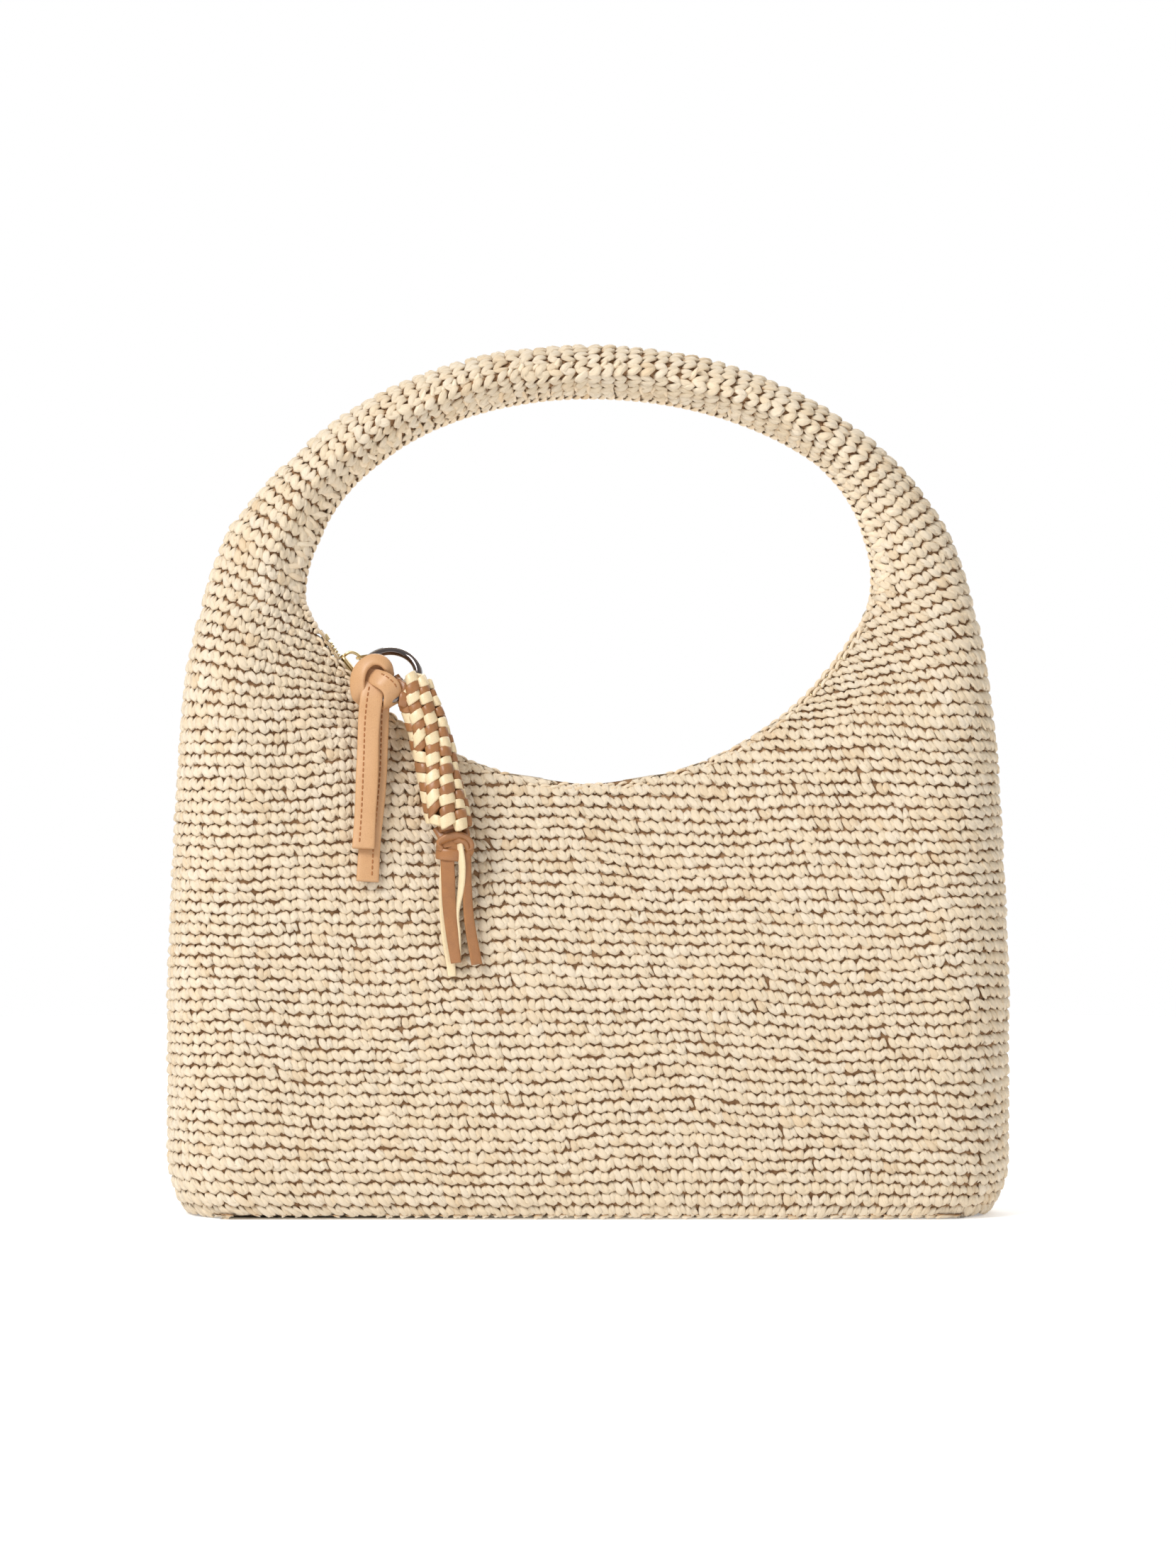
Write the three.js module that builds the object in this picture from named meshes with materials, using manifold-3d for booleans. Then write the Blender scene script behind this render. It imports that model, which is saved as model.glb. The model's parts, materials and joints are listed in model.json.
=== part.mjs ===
// Hobo bag: a crocheted raffia shell with one looped handle, a curved zip along the mouth,
// and a leather strap and braided charm that hang from the zip slider on a metal ring.
// Millimetres, +Z up, the front faces -Y, origin at the middle of the base.
import * as THREE from "three";
import { mergeVertices } from "three/addons/utils/BufferGeometryUtils.js";
import Module from "manifold-3d";

const wasm = await Module();
wasm.setup();

// ---- driving dimensions ----
const GAP = 0.3; // clearance between neighbours that touch
const HALF_WIDTH = 164.6; // half of the bag's widest width
const SHOULDER_Z = 190; // above this the outline is a superellipse
const SHOULDER_HALF = 159.5;
const CROWN_RISE = 150; // from the shoulder line to the top of the handle
const CROWN_POWER = 2.1;
const MOUTH_Z = 289; // centre of the mouth's arc
const MOUTH_R = 120;
const MOUTH_REACH = 62; // degrees each side of the bottom
const HAND_Z = 250; // centre of the half ellipse over the hand hole
const HAND_HALF = 110;
const HAND_RISE = 69;
const CORNER_W = 12; // rounding of the bottom corners
const CORNER_H = 24;
const LIP_DEPTH = 5; // half depth at the mouth and how it grows below it
const BELLY_DEPTH = 35;
const BELLY_REACH = 45;
const HEM_DEPTH = 7; // how far the walls tuck in at the base
const FOLD_R = 32; // rounding of the side folds
const TUBE_DEPTH = 13.5; // half depth of the handle tube
const WALL = 3; // crochet thickness
const LINING = 0.8;
const BASE = 3;
const BOARD = 1.5;
const WALL_LIP = 5; // the walls stop this far below the mouth's edge
const SEAM = 2.4; // the handle tube stops this far from the inner seam's edge
const SEAM_R = 0.7;
const ZIP_REACH = 60; // degrees each side
const SLIDER_REST = 51;
const RING_R = 11.3;
const WIRE_R = 1.4;

const rad = THREE.MathUtils.degToRad;
const lerp = THREE.MathUtils.lerp;
const smooth = THREE.MathUtils.smoothstep;
const v3 = (x, y, z) => new THREE.Vector3(x, y, z);

// ---- solids ----
function solidOf(geometry) {
  const bare = geometry.clone();
  bare.deleteAttribute("normal");
  bare.deleteAttribute("uv");
  const merged = mergeVertices(bare, 1e-4);
  const mesh = new wasm.Mesh({
    numProp: 3,
    vertProperties: merged.attributes.position.array,
    triVerts: new Uint32Array(merged.index.array),
  });
  return new wasm.Manifold(mesh);
}

function geometryOf(solid) {
  const mesh = solid.getMesh();
  const geometry = new THREE.BufferGeometry();
  geometry.setAttribute("position", new THREE.BufferAttribute(mesh.vertProperties, 3));
  geometry.setIndex(new THREE.BufferAttribute(mesh.triVerts, 1));
  return geometry;
}

const join = (...parts) => geometryOf(parts.map(solidOf).reduce((a, b) => a.add(b)));
const cut = (a, b) => geometryOf(solidOf(a).subtract(solidOf(b)));

function indexed(points, faces) {
  const geometry = new THREE.BufferGeometry().setFromPoints(points);
  geometry.setIndex(faces);
  let volume = 0;
  for (let i = 0; i < faces.length; i += 3) {
    const [a, b, c] = [points[faces[i]], points[faces[i + 1]], points[faces[i + 2]]];
    volume += a.dot(b.clone().cross(c));
  }
  if (volume < 0) {
    geometry.setIndex(faces.toReversed());
  }
  return geometry;
}

// A skin between two matching grids of points.
function skin(outer, inner) {
  const rows = outer.length;
  const cols = outer[0].length;
  const at = (layer, i, j) => (layer * rows + i) * cols + j;
  const faces = [];
  const quad = (a, b, c, d) => faces.push(a, b, c, a, c, d);
  for (let i = 0; i + 1 < rows; i++) {
    for (let j = 0; j + 1 < cols; j++) {
      quad(at(0, i, j), at(0, i, j + 1), at(0, i + 1, j + 1), at(0, i + 1, j));
      quad(at(1, i, j), at(1, i + 1, j), at(1, i + 1, j + 1), at(1, i, j + 1));
    }
    quad(at(0, i, 0), at(0, i + 1, 0), at(1, i + 1, 0), at(1, i, 0));
    quad(at(0, i + 1, cols - 1), at(0, i, cols - 1), at(1, i, cols - 1), at(1, i + 1, cols - 1));
  }
  for (let j = 0; j + 1 < cols; j++) {
    quad(at(0, 0, j + 1), at(0, 0, j), at(1, 0, j), at(1, 0, j + 1));
    const last = rows - 1;
    quad(at(0, last, j), at(0, last, j + 1), at(1, last, j + 1), at(1, last, j));
  }
  return indexed([...outer.flat(), ...inner.flat()], faces);
}

// A solid through a row of closed convex rings; with inner rings it is a tube open at both ends.
function loft(rings, holes = null) {
  const count = rings.length;
  const sides = rings[0].length;
  const at = (layer, i, k) => (layer * count + i) * sides + (k % sides);
  const faces = [];
  const quad = (a, b, c, d) => faces.push(a, b, c, a, c, d);
  for (let k = 0; k < sides; k++) {
    for (let i = 0; i + 1 < count; i++) {
      quad(at(0, i, k), at(0, i, k + 1), at(0, i + 1, k + 1), at(0, i + 1, k));
      if (holes) {
        quad(at(1, i, k), at(1, i + 1, k), at(1, i + 1, k + 1), at(1, i, k + 1));
      }
    }
    if (holes) {
      const last = count - 1;
      quad(at(0, 0, k + 1), at(0, 0, k), at(1, 0, k), at(1, 0, k + 1));
      quad(at(0, last, k), at(0, last, k + 1), at(1, last, k + 1), at(1, last, k));
    }
  }
  if (!holes) {
    for (let k = 1; k + 1 < sides; k++) {
      faces.push(at(0, 0, 0), at(0, 0, k + 1), at(0, 0, k));
      faces.push(at(0, count - 1, 0), at(0, count - 1, k), at(0, count - 1, k + 1));
    }
  }
  return indexed([...rings.flat(), ...(holes ? holes.flat() : [])], faces);
}

// A closed wire of round section along a flat loop of points.
function wireLoop(points, normal, radius, sides) {
  const count = points.length;
  const rings = points.map((p, i) => {
    const ahead = points[(i + 1) % count].clone().sub(points[(i + count - 1) % count]);
    const side = ahead.cross(normal).normalize();
    return Array.from({ length: sides }, (_, k) => {
      const turn = (2 * Math.PI * k) / sides;
      return p.clone().addScaledVector(side, radius * Math.cos(turn))
        .addScaledVector(normal, radius * Math.sin(turn));
    });
  });
  const at = (i, k) => (i % count) * sides + (k % sides);
  const faces = [];
  for (let i = 0; i < count; i++) {
    for (let k = 0; k < sides; k++) {
      faces.push(at(i, k), at(i, k + 1), at(i + 1, k + 1), at(i, k), at(i + 1, k + 1), at(i + 1, k));
    }
  }
  return indexed(rings.flat(), faces);
}

function tubeAlong(points, radius, steps, sides) {
  const section = new THREE.Shape();
  section.absarc(0, 0, radius, 0, 2 * Math.PI, false);
  const extrudePath = new THREE.CatmullRomCurve3(points);
  return new THREE.ExtrudeGeometry(section, { steps, extrudePath, curveSegments: sides / 2 });
}

// ---- the outline of the bag and its mouth, for x >= 0 ----
function outerHalfWidth(z) {
  if (z > SHOULDER_Z) {
    const rise = (z - SHOULDER_Z) / CROWN_RISE;
    return SHOULDER_HALF * (1 - rise ** CROWN_POWER) ** (1 / CROWN_POWER);
  }
  const taper = HALF_WIDTH - SHOULDER_HALF;
  const lean = Math.max(0, (z - 90) / (SHOULDER_Z - 90)) ** 1.2;
  const corner = Math.max(0, (CORNER_H - z) / CORNER_H);
  return HALF_WIDTH - taper * lean - CORNER_W * (1 - Math.sqrt(1 - corner ** 2));
}

// Half width of the opening at height z, for an opening grown by `extra` all round.
function openingHalfWidth(z, extra) {
  const r = MOUTH_R + extra;
  const joinX = r * Math.sin(rad(MOUTH_REACH));
  const joinZ = MOUTH_Z - r * Math.cos(rad(MOUTH_REACH));
  if (z <= joinZ) {
    return Math.sqrt(Math.max(0, r ** 2 - (MOUTH_Z - z) ** 2));
  }
  const wide = HAND_HALF + extra;
  if (z >= HAND_Z) {
    const rise = (z - HAND_Z) / (HAND_RISE + extra);
    return wide * Math.sqrt(Math.max(0, 1 - rise ** 2));
  }
  const t = (z - joinZ) / (HAND_Z - joinZ);
  const slope = ((MOUTH_Z - joinZ) / joinX) * (HAND_Z - joinZ);
  return (2 * t ** 3 - 3 * t ** 2 + 1) * joinX + (t ** 3 - 2 * t ** 2 + t) * slope
    + (3 * t ** 2 - 2 * t ** 3) * wide;
}

// A crochet row runs from the outer edge along the inward normal to the opening, or at most `reach`.
function crochetRow(start, inward, extra, reach) {
  const row = { start, inward, length: reach };
  const inside = (t) => {
    const p = start.clone().addScaledVector(inward, t);
    return Math.abs(p.x) < openingHalfWidth(p.z, extra);
  };
  let far = 0;
  while (far < row.length && !inside(far)) {
    far += 1;
  }
  if (far < row.length) {
    let near = far - 1;
    for (let i = 0; i < 30; i++) {
      const half = (near + far) / 2;
      [near, far] = inside(half) ? [near, half] : [half, far];
    }
    row.length = near;
  }
  row.end = start.clone().addScaledVector(inward, row.length);
  return row;
}

function levelRow(z, extra, middle = 0) {
  const x = outerHalfWidth(z);
  return crochetRow(v3(x, 0, z), v3(-1, 0, 0), extra, x + middle);
}

// angle: 0 at the right shoulder, 90 at the top of the handle, 180 at the left shoulder
function crownRow(angle, extra) {
  const folded = rad(angle > 90 ? 180 - angle : angle);
  const x = SHOULDER_HALF * Math.cos(folded) ** (2 / CROWN_POWER);
  const rise = CROWN_RISE * Math.sin(folded) ** (2 / CROWN_POWER);
  const power = CROWN_POWER - 1;
  const inward = v3(-(x ** power) / SHOULDER_HALF ** CROWN_POWER, 0,
    -(rise ** power) / CROWN_RISE ** CROWN_POWER).normalize();
  const row = crochetRow(v3(x, 0, SHOULDER_Z + rise), inward, extra, CROWN_RISE);
  if (angle > 90) {
    for (const p of [row.start, row.inward, row.end]) {
      p.x *= -1;
    }
  }
  return row;
}

const round = (q, power = 2) => {
  const left = 1 - THREE.MathUtils.clamp(q, 0, 1);
  return (1 - left ** power) ** (1 / power);
};

// Half depth of the shell at distance `across` from the side fold, for a layer inset by `inset`.
function halfDepth(row, across, inset) {
  const p = row.start.clone().addScaledVector(row.inward, across);
  const tube = smooth(row.end.z, 205, 245) * 0.75;
  const fromArc = Math.hypot(p.x, MOUTH_Z - p.z) - MOUTH_R;
  const fromEdge = Math.max(0, lerp(fromArc, row.length - across + WALL_LIP, tube));
  const belly = LIP_DEPTH + BELLY_DEPTH * (1 - Math.exp(-fromEdge / BELLY_REACH));
  const hem = HEM_DEPTH * (1 - Math.sqrt(1 - Math.max(0, (CORNER_H - p.z) / CORNER_H) ** 2));
  const deep = lerp(belly - hem, TUBE_DEPTH, tube) - inset;
  const fold = round((across - inset) / (Math.min(FOLD_R, row.length / 2) - inset / 2), 2.3);
  const edge = lerp(1, round((row.length - across) / (row.length / 2)), tube);
  return Math.max(GAP / 2, deep * fold * edge);
}

const FOLD_STEPS = 4;
const FLAT_STEPS = 4;

// Points across a row on one layer, from the side fold to the row's end.
function rowPoints(row, inset, side) {
  const bend = Math.min(FOLD_R, row.length / 2);
  const points = [];
  for (let j = 0; j <= FOLD_STEPS + FLAT_STEPS; j++) {
    const turn = (Math.PI / 2) * Math.min(1, j / FOLD_STEPS);
    const flat = Math.max(0, j - FOLD_STEPS) / FLAT_STEPS;
    const across = lerp(inset + (bend - inset) * (1 - Math.cos(turn)), row.length, flat);
    const p = row.start.clone().addScaledVector(row.inward, across);
    p.y = side * halfDepth(row, across, inset);
    points.push(p);
  }
  return points;
}

const mirrored = (grid) => grid.map((line) => line.map((p) => v3(-p.x, p.y, p.z)));

// side is -1 for the front and +1 for the back; the layer lies between two insets.
function wallLayer(side, inset, thickness, rows) {
  const outer = rows.map((row) => rowPoints(row, inset, side));
  const inner = rows.map((row) => rowPoints(row, inset + thickness, side));
  return join(skin(outer, inner), skin(mirrored(outer), mirrored(inner)));
}

const MIDDLE_LAP = 0.2; // the two halves of a wall lap in the middle before they are joined
const LEVELS_LOW = [14, 30, 60, 95, 130, 155];
const LEVELS_LIP = [163.9, 165.5, 169, 175, 183, 190];
const STUB_END = 22.5;
const shoulderRows = [8, 15, STUB_END].map((angle) => crownRow(angle, WALL_LIP));
const wallRows = (levels) => [
  ...[...levels, ...LEVELS_LOW, ...LEVELS_LIP].map((z) => levelRow(z, WALL_LIP, MIDDLE_LAP)),
  ...shoulderRows,
];

// ---- flat bottom pieces ----
function planRing(z, inset, height) {
  const row = levelRow(z, 0);
  const front = rowPoints(row, inset, -1).map((p) => v3(p.x, p.y, height));
  const back = rowPoints(row, inset, 1).map((p) => v3(p.x, p.y, height)).reverse();
  const right = [...back, ...front];
  const left = right.map((p) => v3(-p.x, p.y, p.z)).reverse();
  return [...right.slice(1), ...left.slice(1)];
}

function plate(inset, low, high, grow) {
  return loft([planRing(0, inset, low), planRing(grow, inset, high)]);
}

// ---- handle ----
function tubeRing(angle, shrinkHeight, shrinkDepth, limit = 1000) {
  const row = crownRow(angle, SEAM);
  const middle = row.start.clone().add(row.end).multiplyScalar(0.5);
  const high = Math.min(row.length / 2 - shrinkHeight, limit);
  const deep = TUBE_DEPTH - shrinkDepth;
  const sides = 12;
  return Array.from({ length: sides }, (_, k) => {
    const turn = (2 * Math.PI * (k + 0.5)) / sides;
    const p = middle.clone().addScaledVector(row.inward, high * Math.cos(turn));
    p.y = deep * Math.sin(turn);
    return p;
  });
}

const steps = (from, to, count) =>
  Array.from({ length: count + 1 }, (_, i) => lerp(from, to, i / count));

const CORE_LIMIT = 6.2;
function handleTube(angles) {
  const outside = angles.map((a) => tubeRing(a, 0, 0));
  const hole = angles.map((a) => tubeRing(a, WALL, WALL, CORE_LIMIT + GAP));
  return loft(outside, hole);
}

const ARM_START = 26.3;
const JOIN_RIGHT = 75;
const JOIN_LEFT = 91.5;
const JOIN_GAP = 0.3;
const rightAngles = steps(ARM_START, JOIN_RIGHT, 7);
const joinAngles = steps(JOIN_RIGHT + JOIN_GAP, JOIN_LEFT, 4);
const leftAngles = steps(JOIN_LEFT + JOIN_GAP, 180 - ARM_START, 9);

// ---- zip ----
// A flat band along the mouth's arc, r0 to r1 from its centre, lying between y0 and y1.
function arcBand(r0, r1, y0, y1, from, to, curveSegments = 24) {
  const shape = new THREE.Shape();
  const down = -Math.PI / 2;
  shape.absarc(0, 0, r1, down + rad(from), down + rad(to), false);
  shape.absarc(0, 0, r0, down + rad(to), down + rad(from), true);
  const geometry = new THREE.ExtrudeGeometry(shape, {
    depth: y1 - y0, bevelEnabled: false, curveSegments,
  });
  geometry.rotateX(Math.PI / 2);
  geometry.translate(0, y1, MOUTH_Z);
  return geometry;
}

const EDGING_R = 1.5;
const EDGING_Y = 5.5;
const EDGING_MIDDLE = MOUTH_R + EDGING_R;
function edging(side) {
  const points = steps(-ZIP_REACH, ZIP_REACH, 24).map((a) =>
    v3(EDGING_MIDDLE * Math.sin(rad(a)), side * EDGING_Y, MOUTH_Z - EDGING_MIDDLE * Math.cos(rad(a))));
  return tubeAlong(points, EDGING_R, 24, 8);
}

const TEETH = { low: 121.8, high: 124.6, inner: 0.65, outer: 2.2 };
const TAPE = { low: 123.3, high: 123.9, inner: 2.5, outer: 6.8 };
const band = (size, side, from, to, segments) => {
  const [y0, y1] = side < 0 ? [-size.outer, -size.inner] : [size.inner, size.outer];
  return arcBand(size.low, size.high, y0, y1, from, to, segments);
};
const TEETH_REACH = 57.5;
const STOP_START = TEETH_REACH + 0.2;
const STOP_END = STOP_START + 1.2;

// ---- slider: x along the zip, z towards the arc's centre ----
const PLATE = { length: 13, width: 7.4, low: -120.3, high: -118.3 };
const KEEL = { length: 10, width: 6.4, low: -126, high: -125 };
const WEDGE = { length: 7, width: 0.6 };
const BRIDGE_Z = -114;
const BRIDGE_R = 0.8;

function slab(length, width, low, high) {
  const box = new THREE.BoxGeometry(length, width, high - low);
  box.translate(0, 0, (low + high) / 2);
  return box;
}

const sliderBody = join(
  slab(PLATE.length, PLATE.width, PLATE.low, PLATE.high),
  slab(KEEL.length, KEEL.width, KEEL.low, KEEL.high),
  slab(WEDGE.length, WEDGE.width, KEEL.high - 0.5, PLATE.low + 0.5),
);

const BRIDGE_FOOT = PLATE.high + GAP;
const sliderBridge = tubeAlong([
  v3(-5.5, 0, BRIDGE_FOOT), v3(-5.3, 0, BRIDGE_Z - 1.4), v3(-3.7, 0, BRIDGE_Z),
  v3(3.7, 0, BRIDGE_Z), v3(5.3, 0, BRIDGE_Z - 1.4), v3(5.5, 0, BRIDGE_FOOT),
], BRIDGE_R, 14, 8);

// ---- ring, wire loop, strap and charm, hanging in front of the wall ----
const bridgeAngle = rad(-SLIDER_REST);
const BRIDGE = v3(-BRIDGE_Z * Math.sin(bridgeAngle), 0, MOUTH_Z + BRIDGE_Z * Math.cos(bridgeAngle));
const HANG = v3(-83, -12, 218.3); // where the wire loop holds the ring
const RING_LEAN = 12;
const HANG_ANGLE = 122; // position of HANG round the ring
const ringUp = v3(0, Math.sin(rad(RING_LEAN)), Math.cos(rad(RING_LEAN)));
const ringRight = v3(1, 0, 0);
const onRing = (angle) => ringRight.clone().multiplyScalar(RING_R * Math.cos(rad(angle)))
  .addScaledVector(ringUp, RING_R * Math.sin(rad(angle)));
const RING_CENTRE = HANG.clone().sub(onRing(HANG_ANGLE));

const LOOP_WIRE = 0.6;
const LOOP_HALF = 3;
function pullLoop() {
  const along = HANG.clone().sub(BRIDGE);
  const span = along.length();
  along.normalize();
  const normal = v3(1, 0, 0).addScaledVector(along, -along.x).normalize();
  const up = normal.clone().cross(along);
  const count = 24;
  const points = Array.from({ length: count }, (_, i) => {
    const turn = (2 * Math.PI * (i + 0.5)) / count;
    const shift = Math.cos(turn) > 0 ? span : 0;
    return BRIDGE.clone().addScaledVector(along, shift + LOOP_HALF * Math.cos(turn))
      .addScaledVector(up, LOOP_HALF * Math.sin(turn));
  });
  return wireLoop(points, normal, LOOP_WIRE, 8);
}

function ringTorus(wire, segments, sides) {
  const torus = new THREE.TorusGeometry(RING_R, wire, sides, segments);
  torus.rotateX(Math.PI / 2 - rad(RING_LEAN));
  torus.translate(RING_CENTRE.x, RING_CENTRE.y, RING_CENTRE.z);
  return torus;
}

const KNOT = { x: -84.3, y: -17, z: 205.2, wide: 8.2, deep: 5.6, high: 7.6 };
function strapKnot() {
  const ball = new THREE.SphereGeometry(1, 16, 12);
  ball.scale(KNOT.wide, KNOT.deep, KNOT.high);
  ball.translate(KNOT.x, KNOT.y, KNOT.z);
  return cut(ball, ringTorus(WIRE_R + GAP, 32, 10));
}

// A flat strip: each point is x, y, z of the middle, with the strip's width along X.
function ribbon(points, wide, thick, taper = 1) {
  const rings = points.map(([x, y, z], i) => {
    const half = (wide / 2) * lerp(1, taper, i / (points.length - 1));
    const deep = thick / 2;
    return [v3(x - half, y - deep, z), v3(x + half, y - deep, z),
      v3(x + half, y + deep, z), v3(x - half, y + deep, z)];
  });
  return loft(rings);
}

const STRAP_WIDTH = 8.6;
const STRAP_THICK = 2.6;
const CHARM_ANGLE = -30;
const CHARM_HOOK = RING_CENTRE.clone().add(onRing(CHARM_ANGLE));

function charmLoop() {
  const torus = new THREE.TorusGeometry(4.2, 1.2, 8, 20);
  const tangent = ringRight.clone().multiplyScalar(-Math.sin(rad(CHARM_ANGLE)))
    .addScaledVector(ringUp, Math.cos(rad(CHARM_ANGLE)));
  torus.applyQuaternion(new THREE.Quaternion().setFromUnitVectors(v3(0, 0, 1), tangent));
  torus.translate(CHARM_HOOK.x, CHARM_HOOK.y, CHARM_HOOK.z);
  return torus;
}

// The braid widens downwards: x, y, z and radius.
const BRAID = [
  [-65.6, -17.2, 196.2, 6.3],
  [-62.7, -20.2, 188, 7],
  [-59.4, -24.6, 176, 7.8],
  [-56.2, -29, 164, 8.6],
  [-53.8, -32.2, 154.5, 8.9],
  [-53.4, -32.8, 152.6, 7.6],
];
function braid() {
  const sides = 12;
  return loft(BRAID.map(([x, y, z, r]) => Array.from({ length: sides }, (_, k) => {
    const turn = (2 * Math.PI * k) / sides;
    return v3(x + r * Math.cos(turn), y + r * Math.sin(turn), z);
  })));
}

function tasselKnot() {
  const ball = new THREE.SphereGeometry(1, 12, 8);
  ball.scale(6.6, 5.6, 5.4);
  ball.translate(-52, -33.4, 146);
  return ball;
}

// ---- pocket ----
const POCKET_HALF = 62;
const POCKET_LEVELS = [60, 95, 130];
const POCKET_STAND = 1.2;
function pocket() {
  const inset = WALL + 2 * GAP + LINING + POCKET_STAND;
  const grid = (depth) => POCKET_LEVELS.map((z) => {
    const row = levelRow(z, WALL_LIP);
    return steps(-POCKET_HALF, POCKET_HALF, 6).map((x) =>
      v3(x, halfDepth(row, row.start.x - Math.abs(x), depth), z));
  });
  return skin(grid(inset), grid(inset + LINING));
}

// ---- assembly ----
const RAFFIA = { color: 0xecd5a8, roughness: 0.75, metalness: 0 };
const EDGE_RAFFIA = { color: 0xdfc595, roughness: 0.75, metalness: 0 };
const COTTON = { color: 0xe4d9c3, roughness: 0.9, metalness: 0 };
const BOARD_CARD = { color: 0xb59a72, roughness: 0.85, metalness: 0 };
const ROPE = { color: 0xe8dcc0, roughness: 0.95, metalness: 0 };
const TAPE_CLOTH = { color: 0xd9c39a, roughness: 0.85, metalness: 0 };
const BRASS = { color: 0xd9b766, roughness: 0.3, metalness: 1 };
const NICKEL = { color: 0xd8d8da, roughness: 0.12, metalness: 1 };
const TAN = { color: 0xe0a978, roughness: 0.5, metalness: 0 };
const BROWN = { color: 0xb07a50, roughness: 0.5, metalness: 0 };
const CREAM = { color: 0xf3e6c4, roughness: 0.5, metalness: 0 };

const group = new THREE.Group();
const slider = new THREE.Group();
slider.position.z = MOUTH_Z;
slider.rotation.y = rad(SLIDER_REST);
group.add(slider);

function add(name, geometry, finish, parent = group) {
  const mesh = new THREE.Mesh(geometry, new THREE.MeshStandardMaterial(finish));
  mesh.name = name;
  parent.add(mesh);
}

const BOARD_TOP = BASE + GAP + BOARD;
const LINING_BASE_TOP = BOARD_TOP + GAP + LINING;
const LINING_START = LINING_BASE_TOP + GAP;
const INSIDE = WALL + 2 * GAP;
add("raffia_base", plate(0, 0, BASE, BASE), RAFFIA);
add("base_board", plate(WALL + 2, BASE + GAP, BOARD_TOP, 0), BOARD_CARD);
add("lining_base", plate(WALL + 2, BOARD_TOP + GAP, LINING_BASE_TOP, 0), COTTON);
for (const [name, side] of [["front", -1], ["back", 1]]) {
  add(`raffia_${name}_wall`, wallLayer(side, 0, WALL, wallRows([BASE + GAP, LINING_START])), RAFFIA);
  add(`lining_${name}`, wallLayer(side, INSIDE, LINING, wallRows([LINING_START])), COTTON);
  add(`mouth_edging_${name}`, edging(side), EDGE_RAFFIA);
  add(`zip_tape_${name}`, band(TAPE, side, -ZIP_REACH, ZIP_REACH), TAPE_CLOTH);
  add(`zip_teeth_${name}`, band(TEETH, side, -TEETH_REACH, TEETH_REACH), BRASS);
  add(`zip_top_stop_${name}`, band(TEETH, side, -STOP_END, -STOP_START, 2), BRASS);
}
add("zip_bottom_stop", arcBand(TEETH.low, TEETH.high, -TEETH.outer, TEETH.outer,
  STOP_START, STOP_END, 2), BRASS);
add("lining_pocket", pocket(), COTTON);

add("handle_right_arm", handleTube(rightAngles), RAFFIA);
add("handle_left_arm", handleTube(leftAngles), RAFFIA);
add("handle_join", handleTube(joinAngles), EDGE_RAFFIA);
add("handle_core", loft([...rightAngles, ...joinAngles, ...leftAngles]
  .map((a) => tubeRing(a, WALL + GAP, WALL + GAP, CORE_LIMIT))), ROPE);
add("handle_inner_seam", tubeAlong(steps(ARM_START + 1, 180 - ARM_START - 1, 24)
  .map((a) => crownRow(a, SEAM_R + GAP / 2).end), SEAM_R, 30, 6), EDGE_RAFFIA);

add("slider_body", sliderBody, BRASS, slider);
add("slider_bridge", sliderBridge, BRASS, slider);
add("pull_loop", pullLoop(), BRASS);
add("o_ring", ringTorus(WIRE_R, 32, 10), NICKEL);
add("strap_knot", strapKnot(), TAN);
add("strap_tail_front", ribbon([[-82.8, -20.6, 195.6], [-84.2, -25.2, 180], [-85.8, -30, 162],
  [-87.1, -34.6, 143.5]], STRAP_WIDTH, STRAP_THICK), TAN);
add("strap_tail_rear", ribbon([[-82.2, -16.4, 195.6], [-83.6, -21.6, 180], [-84.6, -27, 162],
  [-85.2, -31, 146], [-85.7, -33.4, 131]], STRAP_WIDTH, STRAP_THICK), TAN);
add("charm_loop", charmLoop(), BROWN);
add("braid_charm", braid(), CREAM);
add("tassel_knot", tasselKnot(), BROWN);
add("tassel_lace_tan_left", ribbon([[-54.2, -35.4, 140], [-52.9, -37, 120], [-51.9, -38, 99.4]],
  4.6, 1.8, 0.8), BROWN);
add("tassel_lace_cream_middle", ribbon([[-49.8, -34.6, 140], [-49.4, -36.4, 120],
  [-48.8, -38, 99.9]], 2, 2.2), CREAM);
add("tassel_lace_tan_right", ribbon([[-47.6, -34.6, 140.6], [-45.4, -36.6, 120],
  [-42.8, -38, 98.3]], 1.9, 1.9), BROWN);
add("tassel_lace_cream_rear", ribbon([[-54.4, -33.2, 140], [-53.8, -34.6, 118],
  [-52.5, -35.8, 93.8]], 4.6, 1.6), CREAM);

export default group;
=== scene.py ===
"""The looks of a crocheted raffia hobo bag with a zipped mouth, a leather pull and a braided charm.

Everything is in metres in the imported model's frame: +Z up, the front faces -Y. The crochet is real geometry:
a stitch is two or three flattened strands, laid row by row on a map of the bag's surface.
"""
import json
import math

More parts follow.
